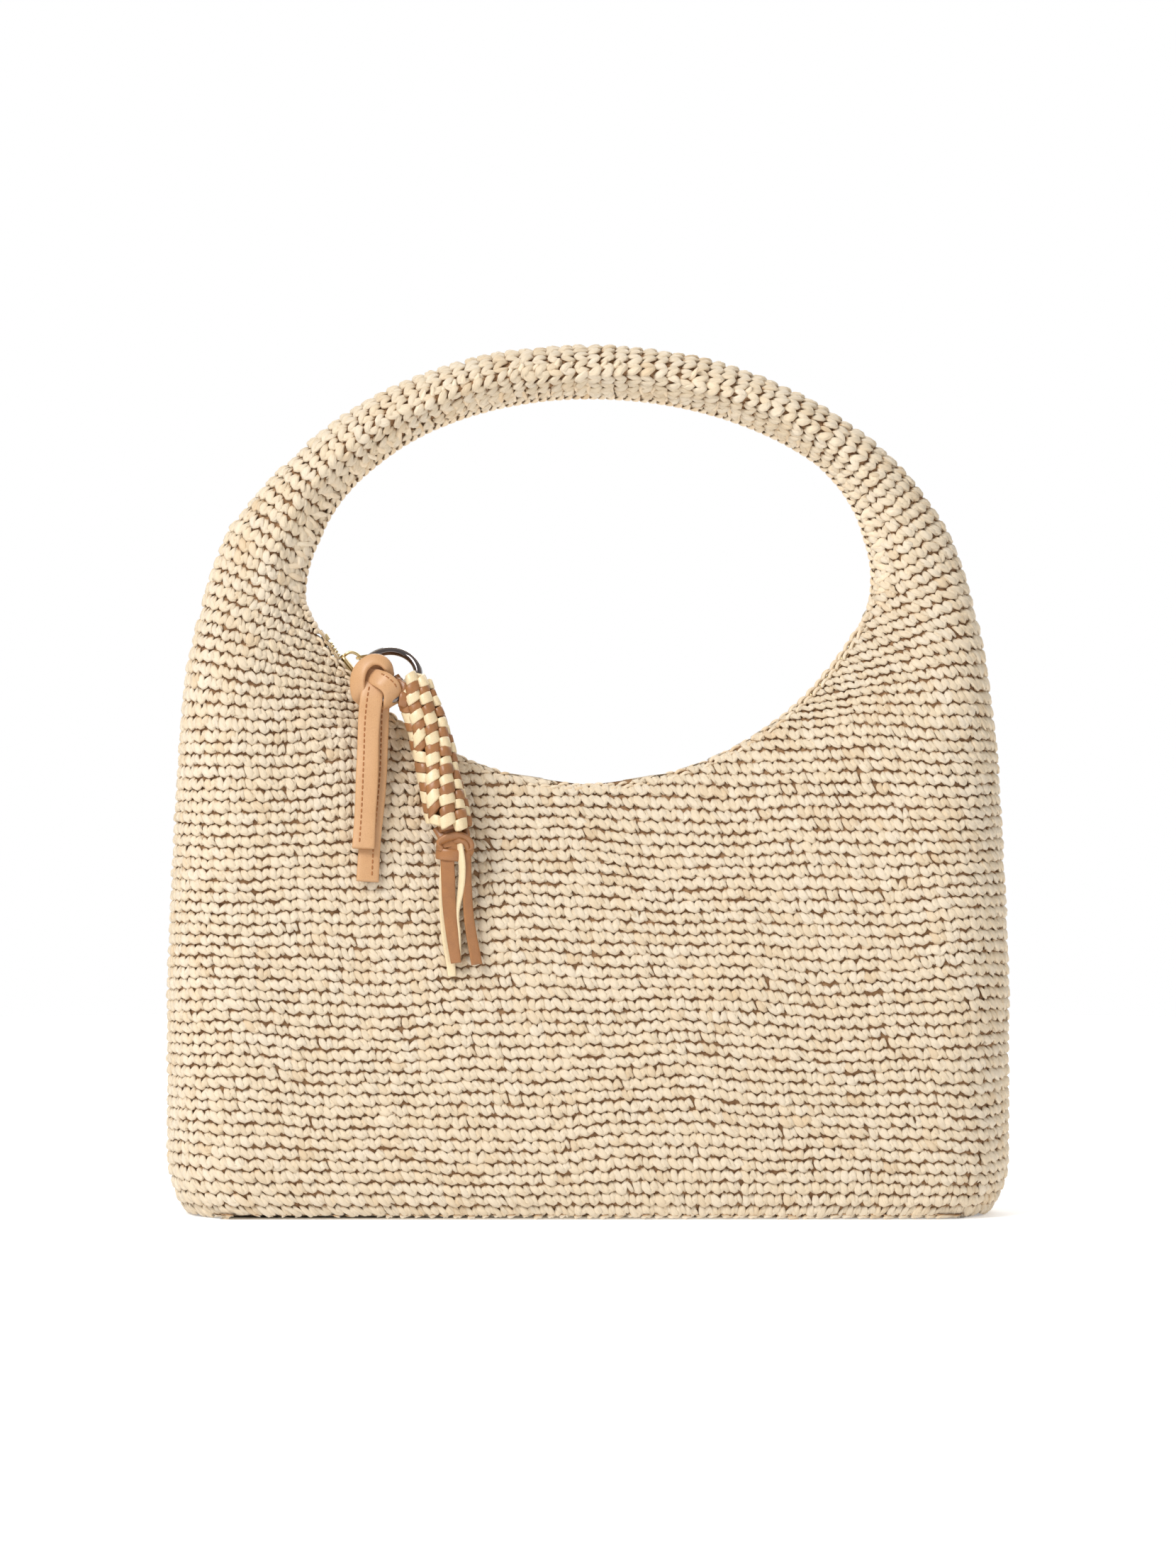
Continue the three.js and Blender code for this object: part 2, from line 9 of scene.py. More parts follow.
import bpy
import numpy as np
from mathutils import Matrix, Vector


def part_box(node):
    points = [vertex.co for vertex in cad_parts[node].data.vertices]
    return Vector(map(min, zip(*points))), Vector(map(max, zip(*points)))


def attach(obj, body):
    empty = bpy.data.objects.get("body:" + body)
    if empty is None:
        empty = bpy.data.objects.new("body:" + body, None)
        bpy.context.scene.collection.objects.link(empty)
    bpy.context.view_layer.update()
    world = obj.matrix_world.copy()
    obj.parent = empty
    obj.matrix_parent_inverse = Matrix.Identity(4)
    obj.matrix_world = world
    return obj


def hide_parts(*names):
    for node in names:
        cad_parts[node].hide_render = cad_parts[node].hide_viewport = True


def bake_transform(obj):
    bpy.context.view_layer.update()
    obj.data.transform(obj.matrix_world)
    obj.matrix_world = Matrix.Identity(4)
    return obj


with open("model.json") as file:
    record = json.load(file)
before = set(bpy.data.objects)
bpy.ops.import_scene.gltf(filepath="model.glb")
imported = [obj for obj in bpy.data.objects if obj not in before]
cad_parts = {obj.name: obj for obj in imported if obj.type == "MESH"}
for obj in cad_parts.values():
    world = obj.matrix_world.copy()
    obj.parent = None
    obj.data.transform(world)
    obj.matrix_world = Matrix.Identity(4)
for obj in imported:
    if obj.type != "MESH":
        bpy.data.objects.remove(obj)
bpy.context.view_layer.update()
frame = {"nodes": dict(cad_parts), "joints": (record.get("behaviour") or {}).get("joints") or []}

MM = 0.001
rng = np.random.default_rng(11)
joints = {j["name"]: j for j in frame["joints"]}

# ---------------------------------------------------------------- the shell's dimensions, from the frame
HALF_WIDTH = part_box("raffia_front_wall")[1].x
CROWN_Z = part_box("handle_join")[1].z
MOUTH_Z = joints["slider_travel"]["pos_m"][2]
TILT_Z = joints["handle_tilt"]["pos_m"][2]
MOUTH_R = MOUTH_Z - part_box("mouth_edging_front")[0].z - 3 * MM
SHOULDER_Z = CROWN_Z - 150 * MM
SHOULDER_HALF = HALF_WIDTH - 5.1 * MM
TAPER_Z = 90 * MM  # the sides lean in above this height
CROWN_POWER = 2.1
CROWN_REACH = 150 * MM  # the most that a row on the crown runs inwards
HAND_Z = 250 * MM
HAND_HALF = 110 * MM
HAND_RISE = 69 * MM
MOUTH_REACH = math.radians(62)
CORNER_W = 12 * MM
CORNER_H = 24 * MM
LIP_DEPTH = 5 * MM
BELLY_FULL = 40 * MM
BELLY_REACH = 45 * MM
HEM_DEPTH = 7 * MM
FOLD_R = 32 * MM
TUBE_DEPTH = 13.2 * MM
TUBE_LOW, TUBE_HIGH = 208 * MM, 248 * MM  # the shell turns into the handle's tube between these heights
BEND_LOW, BEND_HIGH = TILT_Z - 16 * MM, TILT_Z + 16 * MM
HANDLE_BEND = ("bag", "handle", (0, 0, BEND_LOW), (0, 0, BEND_HIGH))

ROW_PITCH = 4.4 * MM
CROWN_PITCH = 5.4 * MM
STITCH_PITCH = 5.6 * MM
HORN_PITCHES = (STITCH_PITCH, 5.1 * MM, 4.5 * MM)  # on a shoulder and arm, at the rows below
HORN_PITCH_ROWS = (0, 18, 34)
BODY_STITCHES = 34  # stitches from a side fold to the middle
DRIFT = -0.07  # each row starts this much of a stitch further along
YARN_INSET = 1.5 * MM
LIP_EXTRA = 1.4 * MM
HEM_Z = 1.2 * MM
MOUTH_LOW = MOUTH_Z - MOUTH_R - LIP_EXTRA
BODY_ROWS = round(MOUTH_LOW / ROW_PITCH)
GROUND_GAP = 0.1 * MM

# ---------------------------------------------------------------- stage, light and camera
CAMERA_DISTANCE = 2.6
CAMERA_RISE = math.radians(1)
SENSOR_WIDTH = 36
FRAME_HEIGHT = 0.6105  # what the view takes in at the bag
VIEW_CENTRE = Vector((0, 0, 0.1682))
LIT_POINT = Vector((0, 0, 0.15))
DOME_LIGHT = 0.48
# name, place, size in metres, power in watts
LAMPS = (
    ("key", (-1.1, -1.2, 1.6), 0.9, 38),
    ("fill", (1.3, -1.4, 0.6), 1.4, 4),
    ("back", (0.3, 1.4, 1.2), 1.2, 16),
)
FLOOR_RADIUS = 1.5
FLOOR_SIDES = 96
FLOOR_GLOW = 0.31  # brings the paper up to the white behind it
PAPER = ((0.35, (0.915, 0.915, 0.915)), (0.65, (0.93, 0.93, 0.93)))


def make_camera():
    data = bpy.data.cameras.new("camera")
    data.sensor_width = SENSOR_WIDTH
    data.lens = data.sensor_width * (CAMERA_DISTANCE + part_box("raffia_front_wall")[0].y / 2) / FRAME_HEIGHT
    camera = bpy.data.objects.new("camera", data)
    bpy.context.scene.collection.objects.link(camera)
    back = Vector((0, -math.cos(CAMERA_RISE), math.sin(CAMERA_RISE)))
    camera.location = VIEW_CENTRE + CAMERA_DISTANCE * back
    camera.rotation_euler = (-back).to_track_quat("-Z", "Y").to_euler()
    bpy.context.scene.camera = camera


def make_lights():
    """A white sweep: the lens sees plain white, the light itself is a softer studio dome with three lamps."""
    world = bpy.data.worlds.new("studio")
    bpy.context.scene.world = world
    world.use_nodes = True
    tree = world.node_tree
    dome = tree.nodes["Background"]
    dome.inputs["Color"].default_value = (1, 0.995, 0.985, 1)
    dome.inputs["Strength"].default_value = DOME_LIGHT
    white = node(tree, "ShaderNodeBackground", Color=(1, 1, 1, 1))
    path = node(tree, "ShaderNodeLightPath")
    mix = node(tree, "ShaderNodeMixShader")
    sockets = (path.outputs["Is Camera Ray"], dome.outputs["Background"], white.outputs["Background"])
    for socket, end in zip(sockets, mix.inputs):
        tree.links.new(socket, end)
    tree.links.new(mix.outputs["Shader"], tree.nodes["World Output"].inputs["Surface"])
    for name, place, size, power in LAMPS:
        data = bpy.data.lights.new(name, "AREA")
        data.size = size
        data.energy = power
        lamp = bpy.data.objects.new(name, data)
        bpy.context.scene.collection.objects.link(lamp)
        lamp.location = place
        lamp.rotation_euler = (LIT_POINT - Vector(place)).to_track_quat("-Z", "Y").to_euler()
    bpy.context.scene.view_settings.view_transform = "Standard"


def make_floor():
    mesh = bpy.data.meshes.new("floor")
    turns = np.linspace(0, 2 * np.pi, FLOOR_SIDES, endpoint=False)
    rim = [(FLOOR_RADIUS * math.cos(a), FLOOR_RADIUS * math.sin(a), 0) for a in turns]
    mesh.from_pydata(rim, [], [tuple(range(FLOOR_SIDES))])
    floor = bpy.data.objects.new("floor", mesh)
    bpy.context.scene.collection.objects.link(floor)
    material, shader, tree = new_material("floor_paper", 0.9)
    tree.links.new(ramp(tree, noise(tree, mapped(tree), 40), PAPER), shader.inputs["Base Color"])
    shader.inputs["Emission Color"].default_value = (1, 1, 1, 1)
    shader.inputs["Emission Strength"].default_value = FLOOR_GLOW
    mesh.materials.append(material)


# ---------------------------------------------------------------- material helpers
def new_material(name, roughness, metallic=0.0):
    material = bpy.data.materials.new(name)
    material.use_nodes = True
    tree = material.node_tree
    shader = tree.nodes["Principled BSDF"]
    shader.inputs["Roughness"].default_value = roughness
    shader.inputs["Metallic"].default_value = metallic
    return material, shader, tree


def node(tree, kind, **settings):
    """A new node. A setting is a property, an input's value, or a socket to link to that input."""
    made = tree.nodes.new(kind)
    for key, value in settings.items():
        if isinstance(value, bpy.types.NodeSocket):
            tree.links.new(value, made.inputs[key])
        elif key in made.inputs:
            made.inputs[key].default_value = value
        else:
            setattr(made, key, value)
    return made


def ramp(tree, pattern, stops):
    """A colour that follows a pattern through (position, colour) stops."""
    made = node(tree, "ShaderNodeValToRGB", Fac=pattern)
    elements = made.color_ramp.elements
    while len(elements) < len(stops):
        elements.new(0.5)
    for element, (position, colour) in zip(elements, stops):
        element.position = position
        element.color = (*colour, 1)
    return made.outputs["Color"]


def multiply(tree, a, b):
    mix = node(tree, "ShaderNodeMix", data_type="RGBA", blend_type="MULTIPLY", Factor=1.0, A=a, B=b)
    return mix.outputs["Result"]


def combined(tree, operation, a, b):
    made = node(tree, "ShaderNodeMath", operation=operation)
    tree.links.new(a, made.inputs[0])
    tree.links.new(b, made.inputs[1])
    return made.outputs["Value"]


def bump(tree, shader, height, strength, distance):
    made = node(tree, "ShaderNodeBump", Strength=strength, Distance=distance, Height=height)
    tree.links.new(made.outputs["Normal"], shader.inputs["Normal"])


def vary_gloss(tree, shader, pattern, low, high):
    """Lets the roughness follow a pattern."""
    gloss = node(tree, "ShaderNodeMapRange", Value=pattern)
    gloss.inputs["To Min"].default_value = low
    gloss.inputs["To Max"].default_value = high
    tree.links.new(gloss.outputs["Result"], shader.inputs["Roughness"])


def mapped(tree, strand_scale=None):
    """Texture coordinates: along and round each strand if it gets a scale, otherwise the object's own."""
    if strand_scale:
        start = node(tree, "ShaderNodeUVMap", uv_map="strand").outputs["UV"]
    else:
        start = node(tree, "ShaderNodeTexCoord").outputs["Object"]
    return node(tree, "ShaderNodeMapping", Scale=strand_scale or (1, 1, 1), Vector=start).outputs["Vector"]


def noise(tree, place, scale, detail=3.0, roughness=0.6):
    made = node(tree, "ShaderNodeTexNoise", Vector=place, Scale=scale, Detail=detail, Roughness=roughness)
    return made.outputs["Fac"]


def raffia_material(name, light, mid, dark):
    """Split palm leaf: fine fibres along each strand, a tone of its own per strand, and painted shade: dark
    brown where a strand lies low in the gaps.
    """
    material, shader, tree = new_material(name, 0.62)
    tone = node(tree, "ShaderNodeAttribute", attribute_name="tone").outputs["Fac"]
    # the share free of painted shade: strands that lie low in the gaps are darkened to brown as painted shade
    depth = node(tree, "ShaderNodeAttribute", attribute_name="open").outputs["Fac"]
    fibres = noise(tree, mapped(tree, (1.2, 13, 1)), 2.0, 4.0, 0.65)
    folds = noise(tree, mapped(tree, (0.5, 2.6, 1)), 2.0, 1.0, 0.5)
    colour = ramp(tree, tone, [(0.0, dark), (0.4, mid), (1.0, light)])
    streaks = ramp(tree, fibres, [(0.28, (0.86, 0.8, 0.7)), (0.6, (1, 1, 1))])
    painted_gap_shade = ramp(tree, depth, [(0.0, RAFFIA_PAINTED_GAP_SHADE), (0.38, (0.72, 0.50, 0.30)), (0.72, (1, 1, 1))])
    colour = multiply(tree, multiply(tree, colour, streaks), painted_gap_shade)
    tree.links.new(colour, shader.inputs["Base Color"])
    bump(tree, shader, combined(tree, "ADD", fibres, folds), 0.7, 0.5 * MM)
    shader.inputs["Sheen Weight"].default_value = 0.12
    shader.inputs["Specular IOR Level"].default_value = 0.35
    return material


def cloth_material(name, colour, shade, threads):
    """Plain weave: two crossed thread waves."""
    material, shader, tree = new_material(name, 0.9)
    place = mapped(tree)
    waves = []
    for direction in ("X", "Z"):
        wave = node(tree, "ShaderNodeTexWave", bands_direction=direction, Scale=threads, Vector=place)
        wave.inputs["Distortion"].default_value = 0.6
        waves.append(wave.outputs["Fac"])
    weave = combined(tree, "MULTIPLY", *waves)
    threads_colour = ramp(tree, weave, [(0.0, shade), (0.6, colour)])
    cloudy = ramp(tree, noise(tree, place, 30), [(0.3, (0.93, 0.93, 0.93)), (0.7, (1, 1, 1))])
    tree.links.new(multiply(tree, threads_colour, cloudy), shader.inputs["Base Color"])
    bump(tree, shader, weave, 0.4, 0.2 * MM)
    return material


def leather_material(name, colour, shade, roughness=0.42):
    """Smooth dyed leather: fine grain and cloudy dye."""
    material, shader, tree = new_material(name, roughness)
    place = mapped(tree)
    cells = node(tree, "ShaderNodeTexVoronoi", feature="DISTANCE_TO_EDGE", Scale=1500, Vector=place)
    grain = cells.outputs["Distance"]
    dye = ramp(tree, noise(tree, place, 90, 4.0, 0.7), [(0.3, shade), (0.65, colour)])
    pores = ramp(tree, grain, [(0.0, (0.9, 0.87, 0.84)), (0.12, (1, 1, 1))])
    tree.links.new(multiply(tree, dye, pores), shader.inputs["Base Color"])
    vary_gloss(tree, shader, noise(tree, place, 260), roughness - 0.08, roughness + 0.12)
    bump(tree, shader, grain, 0.25, 0.2 * MM)
    return material


def metal_material(name, colour, roughness):
    """Plated metal with faint wear."""
    material, shader, tree = new_material(name, roughness, 1.0)
    wear = noise(tree, mapped(tree), 700, 4.0, 0.7)
    tint = ramp(tree, wear, [(0.3, tuple(0.85 * c for c in colour)), (0.7, colour)])
    tree.links.new(tint, shader.inputs["Base Color"])
    vary_gloss(tree, shader, wear, roughness, roughness + 0.12)
    return material


def chrome_material(name):
    """Mirror plating with a painted reflection: dark and bright bands round the wire, as a dim room would give.
    """
    material, shader, tree = new_material(name, 0.06, 1.0)
    split = node(tree, "ShaderNodeSeparateXYZ", Vector=mapped(tree, (1, 1, 1)))
    painted_reflection = ramp(tree, split.outputs["Y"], CHROME_PAINTED_REFLECTION)
    wear = ramp(tree, noise(tree, mapped(tree), 500), [(0.3, (0.9, 0.9, 0.9)), (0.7, (1, 1, 1))])
    tree.links.new(multiply(tree, painted_reflection, wear), shader.inputs["Base Color"])
    return material


def fibre_material(name, colour, shade):
    """Matte twisted or pressed fibre."""
    material, shader, tree = new_material(name, 0.9)
    specks = noise(tree, mapped(tree), 420, 5.0, 0.75)
    tree.links.new(ramp(tree, specks, [(0.35, shade), (0.65, colour)]), shader.inputs["Base Color"])
    bump(tree, shader, specks, 0.3, 0.3 * MM)
    return material


# painted reflection: dim and warm room tones in bands round the ring's wire, with a painted highlight band
CHROME_REFLECTION_DARK = (0.17, 0.145, 0.14)
CHROME_REFLECTION_WARM = (0.40, 0.30, 0.25)
CHROME_REFLECTION_MID = (0.32, 0.28, 0.27)
CHROME_PAINTED_HIGHLIGHT = (0.80, 0.78, 0.77)
CHROME_PAINTED_REFLECTION = (
    (0.15, CHROME_REFLECTION_DARK), (0.26, CHROME_REFLECTION_WARM), (0.36, CHROME_REFLECTION_DARK), (0.5, CHROME_REFLECTION_DARK), (0.57, CHROME_REFLECTION_MID),
    (0.60, CHROME_PAINTED_HIGHLIGHT), (0.63, CHROME_PAINTED_HIGHLIGHT), (0.67, CHROME_REFLECTION_DARK), (0.78, CHROME_REFLECTION_MID),
)
# painted shade: the dark brown that low-lying strands in the gaps between stitches are darkened to
RAFFIA_PAINTED_GAP_SHADE = (0.12, 0.05, 0.014)
RAFFIA = raffia_material("raffia", (0.92, 0.80, 0.635), (0.89, 0.745, 0.55), (0.82, 0.64, 0.43))
EDGE = raffia_material("raffia_edge", (0.91, 0.785, 0.61), (0.86, 0.70, 0.505), (0.75, 0.56, 0.35))
# painted shade: a dark brown sheet under the stitches stands in for the shadow in their gaps
PAINTED_SHADE_BACKING = fibre_material("raffia_gap_shade_backing", (0.36, 0.21, 0.10), (0.20, 0.10, 0.045))
COTTON = cloth_material("lining_cotton", (0.72, 0.64, 0.50), (0.60, 0.52, 0.39), 260)
TAPE = cloth_material("zip_tape", (0.62, 0.47, 0.28), (0.48, 0.34, 0.19), 420)
CARD = fibre_material("stiffener", (0.42, 0.30, 0.18), (0.34, 0.23, 0.13))
ROPE = fibre_material("filler_rope", (0.76, 0.70, 0.58), (0.62, 0.55, 0.43))
BRASS = metal_material("zip_metal", (0.66, 0.51, 0.27), 0.28)
NICKEL = chrome_material("ring_metal")
TAN = leather_material("leather_tan", (0.585, 0.335, 0.165), (0.545, 0.305, 0.145))
TAN_THREAD = fibre_material("strap_thread", (0.40, 0.17, 0.06), (0.30, 0.12, 0.04))
BROWN = leather_material("lace_brown", (0.36, 0.158, 0.056), (0.27, 0.12, 0.047), 0.34)
CREAM = leather_material("lace_cream", (0.79, 0.645, 0.415), (0.73, 0.585, 0.36), 0.36)


# ---------------------------------------------------------------- mesh helpers
SECTION_TOP = 3.2  # the power of a strap's cross-section: 2 is round, more is squarer
FIBRE_RUN = 6 * MM  # along a strap, one step of its fibre coordinate
FIBRE_TURN = 7  # round a strap, in radians


class Pile:
    """Vertices and faces gathered from many small pieces, then made into one object."""

    def __init__(self):
        self.points, self.faces, self.strands, self.tones, self.opens, self.kinds = [], [], [], [], [], []
        self.count = 0

    def add(self, points, faces, strand, tone, unshaded_share, kind=0):
        """points (n,3); faces (m,4) with -1 as the fourth of a triangle; strand (n,2); tone and the share free
        of painted shade (n,).
        """
        self.points.append(points)
        self.faces.append(faces + np.where(faces < 0, 0, self.count))
        self.strands.append(strand)
        self.tones.append(np.broadcast_to(tone, len(points)))
        self.opens.append(np.broadcast_to(unshaded_share, len(points)))
        self.kinds.append(np.full(len(faces), kind))
        self.count += len(points)

    def add_skin(self, grid, normals, high, low, kind=0, unshaded_share=1.0, grain=(0, 1), grain_size=8 * MM):
        """A closed layer from low to high over a grid. Its fibres' coordinates follow the two axes of grain."""
        outer, inner = grid + normals * high, grid + normals * low
        points = np.concatenate([outer.reshape(-1, 3), inner.reshape(-1, 3)])
        self.add(points, skin_faces(*grid.shape[:2]), points[:, grain] / grain_size, 0.5, unshaded_share, kind)

    def build(self, name, materials):
        """The smooth-shaded object of everything gathered, kept clear of the ground."""
        faces = np.concatenate(self.faces).astype(np.int32)
        points = np.concatenate(self.points)
        points[:, 2] = np.maximum(points[:, 2], GROUND_GAP)
        used = faces >= 0
        sizes = used.sum(1).astype(np.int32)
        corners = faces[used]
        mesh = bpy.data.meshes.new(name)
        mesh.vertices.add(len(points))
        mesh.vertices.foreach_set("co", points.astype(np.float32).ravel())
        mesh.loops.add(len(corners))
        mesh.loops.foreach_set("vertex_index", corners)
        mesh.polygons.add(len(faces))
        mesh.polygons.foreach_set("loop_start", np.concatenate([[0], np.cumsum(sizes)[:-1]]).astype(np.int32))
        mesh.polygons.foreach_set("loop_total", sizes)
        mesh.polygons.foreach_set("use_smooth", np.ones(len(faces), bool))
        for material in materials:
            mesh.materials.append(material)
        mesh.polygons.foreach_set("material_index", np.concatenate(self.kinds).astype(np.int32))
        layer = mesh.uv_layers.new(name="strand")
        layer.data.foreach_set("uv", np.concatenate(self.strands).astype(np.float32)[corners].ravel())
        mesh.update(calc_edges=True)
        mesh.validate()
        thing = bpy.data.objects.new(name, mesh)
        bpy.context.scene.collection.objects.link(thing)
        # the open attribute carries the share free of painted gap shade, which the raffia material reads
        for label, values in (("tone", self.tones), ("open", self.opens)):
            layer = mesh.attributes.new(label, "FLOAT", "POINT")
            layer.data.foreach_set("value", np.concatenate(values).astype(np.float32))
        return thing


def finish_piece(pile, name, materials, body, slot, *nodes, bend=None):
    """Builds a piece that rides on a body; given a bend (from a body to a body, between two points), it only
    has its transform baked in instead.
    """
    thing = pile.build(name, materials)
    if bend:
        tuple(bend[2])
        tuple(bend[3])
        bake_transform(thing)
    else:
        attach(thing, body)
    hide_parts(*nodes)
    return thing


def unit(v):
    return v / np.maximum(np.linalg.norm(v, axis=-1, keepdims=True), 1e-12)


def run_along(line):
    """The length from the start of a line to each of its points."""
    return np.concatenate([[0], np.cumsum(np.linalg.norm(np.diff(line, axis=0), axis=1))])


def sampled(at, run, rows):
    """Rows of values read off at some lengths; run is the length at each row."""
    return np.stack([np.interp(at, run, rows[:, k]) for k in range(rows.shape[1])], -1)


def resampled(line, count):
    run = run_along(line)
    return sampled(np.linspace(0, run[-1], count), run, line)


def smooth_path(points, count):
    """A Catmull-Rom curve through points, evenly spaced."""
    p = np.asarray(points, float)
    p = np.concatenate([2 * p[:1] - p[1:2], p, 2 * p[-1:] - p[-2:-1]])
    t = np.linspace(0, 1, 24, endpoint=False)[:, None]
    fine = []
    for i in range(1, len(p) - 2):
        a, b, c, d = p[i - 1 : i + 3]
        bent = (2 * a - 5 * b + 4 * c - d) * t**2 + (3 * b - a - 3 * c + d) * t**3
        fine.append(0.5 * (2 * b + (c - a) * t + bent))
    return resampled(np.concatenate(fine + [p[-2:-1]]), count)


def route(points, count):
    """A smooth path through points given in millimetres."""
    return smooth_path(np.array(points) * MM, count)


def smoothstep(x, low, high):
    t = np.clip((x - low) / (high - low), 0, 1)
    return t * t * (3 - 2 * t)


def squared(turn, power):
    """Cosine and sine on a circle that is squared: power 2 is round, more is squarer."""
    c, s = np.cos(turn), np.sin(turn)
    return np.sign(c) * np.abs(c) ** (2 / power), np.sign(s) * np.abs(s) ** (2 / power)


def random_tone(middle):
    return float(np.clip(rng.normal(middle, 0.2), 0, 1))


def tube_faces(rings, sides, closed=False):
    """Faces of a tube of rings, with a point at each end after the rings unless it is closed."""
    faces = []
    for i in range(rings if closed else rings - 1):
        for k in range(sides):
            here, there = i * sides, ((i + 1) % rings) * sides
            after = (k + 1) % sides
            faces.append((here + k, here + after, there + after, there + k))
    if not closed:
        first, last = rings * sides, rings * sides + 1
        base = (rings - 1) * sides
        for k in range(sides):
            faces.append((first, (k + 1) % sides, k, -1))
            faces.append((last, base + k, base + (k + 1) % sides, -1))
    return np.array(faces)


def skin_faces(rows, cols):
    """Faces of a closed skin between two grids of rows x cols points, stored one after the other."""
    at = lambda layer, i, j: (layer * rows + i) * cols + j
    faces = []
    for i in range(rows - 1):
        for j in range(cols - 1):
            faces.append((at(0, i, j), at(0, i, j + 1), at(0, i + 1, j + 1), at(0, i + 1, j)))
            faces.append((at(1, i, j), at(1, i + 1, j), at(1, i + 1, j + 1), at(1, i, j + 1)))
        faces.append((at(0, i, 0), at(0, i + 1, 0), at(1, i + 1, 0), at(1, i, 0)))
        last = cols - 1
        faces.append((at(0, i + 1, last), at(0, i, last), at(1, i, last), at(1, i + 1, last)))
    for j in range(cols - 1):
        last = rows - 1
        faces.append((at(0, 0, j + 1), at(0, 0, j), at(1, 0, j), at(1, 0, j + 1)))
        faces.append((at(0, last, j), at(0, last, j + 1), at(1, last, j + 1), at(1, last, j)))
    return np.array(faces)


def strap_frame(path, across, closed=False):
    """The side and face directions of a strap whose width runs across."""
    if closed:
        along = unit(np.roll(path, -1, 0) - np.roll(path, 1, 0))
    else:
        along = unit(np.gradient(path, axis=0))
    across = np.broadcast_to(np.asarray(across, float), path.shape)
    side = unit(across - (across * along).sum(1, keepdims=True) * along)
    return side, np.cross(along, side)


def strap(pile, path, wide, thick, across, tone=0.5, kind=0, sides=20, power=SECTION_TOP, closed=False):
    """Adds a flattened tube along path (n,3): across is its width's direction, wide and thick full sizes."""
    count = len(path)
    side, face = strap_frame(path, across, closed)
    wide = np.broadcast_to(wide, count)[:, None, None]
    thick = np.broadcast_to(thick, count)[:, None, None]
    turn = np.linspace(0, 2 * np.pi, sides, endpoint=False)
    c, s = squared(turn, power)
    rings = path[:, None] + side[:, None] * c[None, :, None] * wide / 2
    rings = rings + face[:, None] * s[None, :, None] * thick / 2
    steps = run_along(path) / FIBRE_RUN
    strand = np.stack(np.broadcast_arrays(steps[:, None], turn[None] / FIBRE_TURN), -1).reshape(-1, 2)
    points = rings.reshape(-1, 3)
    if not closed:
        points = np.concatenate([points, path[:1], path[-1:]])
        strand = np.concatenate([strand, [[0, 0], [steps[-1], 0]]])
    pile.add(points, tube_faces(count, sides, closed), strand, tone, 1.0, kind)


def running_stitches(pile, path, across, wide, thick, offset, first, last, pitch=2.3 * MM):
    """Running stitches along a strap, offset from its middle as a share of its half width."""
    side, face = strap_frame(path, across)
    wide = np.broadcast_to(wide, len(path))[:, None]
    high = (1 - abs(offset) ** SECTION_TOP) ** (1 / SECTION_TOP)
    line = path + side * wide / 2 * offset + face * thick / 2 * high
    run = run_along(line)
    arc = np.sin(np.linspace(0, np.pi, 6))[:, None]
    for start in np.arange(first * run[-1], last * run[-1] - pitch, pitch):
        at = np.linspace(start, start + 0.62 * pitch, 6)
        out = unit(sampled(at, run, face))
        spot = sampled(at, run, line) + out * (arc * 0.22 - 0.12) * MM
        strap(pile, spot, 0.6 * MM, 0.5 * MM, np.cross(out, [0.3, 0.2, 0.9]), 0.5, 1, 6, 2)


# ---------------------------------------------------------------- the bag's outline and surface
def outer_half_width(z):
    taper = HALF_WIDTH - SHOULDER_HALF
    lean = max(0, (z - TAPER_Z) / (SHOULDER_Z - TAPER_Z)) ** 1.2
    corner = max(0, (CORNER_H - z) / CORNER_H)
    return HALF_WIDTH - taper * lean - CORNER_W * (1 - math.sqrt(1 - corner**2))


def opening_half_width(z, extra):
    """Half the width of the opening under the handle, widened all round by extra."""
    r = MOUTH_R + extra
    join_x, join_z = r * math.sin(MOUTH_REACH), MOUTH_Z - r * math.cos(MOUTH_REACH)
    if z <= join_z:
        return math.sqrt(max(0, r**2 - (MOUTH_Z - z) ** 2))
    wide = HAND_HALF + extra
    if z >= HAND_Z:
        return wide * math.sqrt(max(0, 1 - ((z - HAND_Z) / (HAND_RISE + extra)) ** 2))
    t = (z - join_z) / (HAND_Z - join_z)
    slope = (MOUTH_Z - join_z) / join_x * (HAND_Z - join_z)
    return (2 * t**3 - 3 * t**2 + 1) * join_x + (t**3 - 2 * t**2 + t) * slope + (3 * t**2 - 2 * t**3) * wide


def row_from(start, inward, extra, reach):
    """A crochet row's line: from the outer edge along the inward direction to the opening, or at most reach."""
    inside = lambda t: abs(start[0] + inward[0] * t) < opening_half_width(start[1] + inward[1] * t, extra)
    far = 0.0
    while far < reach and not inside(far):
        far += MM
    length = reach
    if far < reach:
        near = far - MM
        for _ in range(24):
            half = (near + far) / 2
            near, far = (near, half) if inside(half) else (half, far)
        length = near
    return start, inward, length


def level_row(z, extra):
    x = outer_half_width(z)
    return row_from(np.array([x, z]), np.array([-1.0, 0]), extra, x)


def crown_row(angle, extra):
    """angle 0 is the shoulder, a quarter turn the top of the handle; the right half only."""
    x = SHOULDER_HALF * math.cos(angle) ** (2 / CROWN_POWER)
    rise = (CROWN_Z - SHOULDER_Z) * math.sin(angle) ** (2 / CROWN_POWER)
    power = CROWN_POWER - 1
    slope = x**power / SHOULDER_HALF**CROWN_POWER, rise**power / (CROWN_Z - SHOULDER_Z) ** CROWN_POWER
    return row_from(np.array([x, SHOULDER_Z + rise]), unit(-np.array(slope)), extra, CROWN_REACH)


def rounded(q, power):
    left = 1 - np.clip(q, 0, 1)
    return (1 - left**power) ** (1 / power)


# the handle is flattened towards its inner seam, with a soft ridge where the flat begins
FACET_AT = (0, 0.03, 0.1, 0.3, 0.5, 0.68, 0.82, 1)
FACET_DEEP = (0, 0.2, 0.34, 0.56, 0.75, 0.95, 1.04, 1)


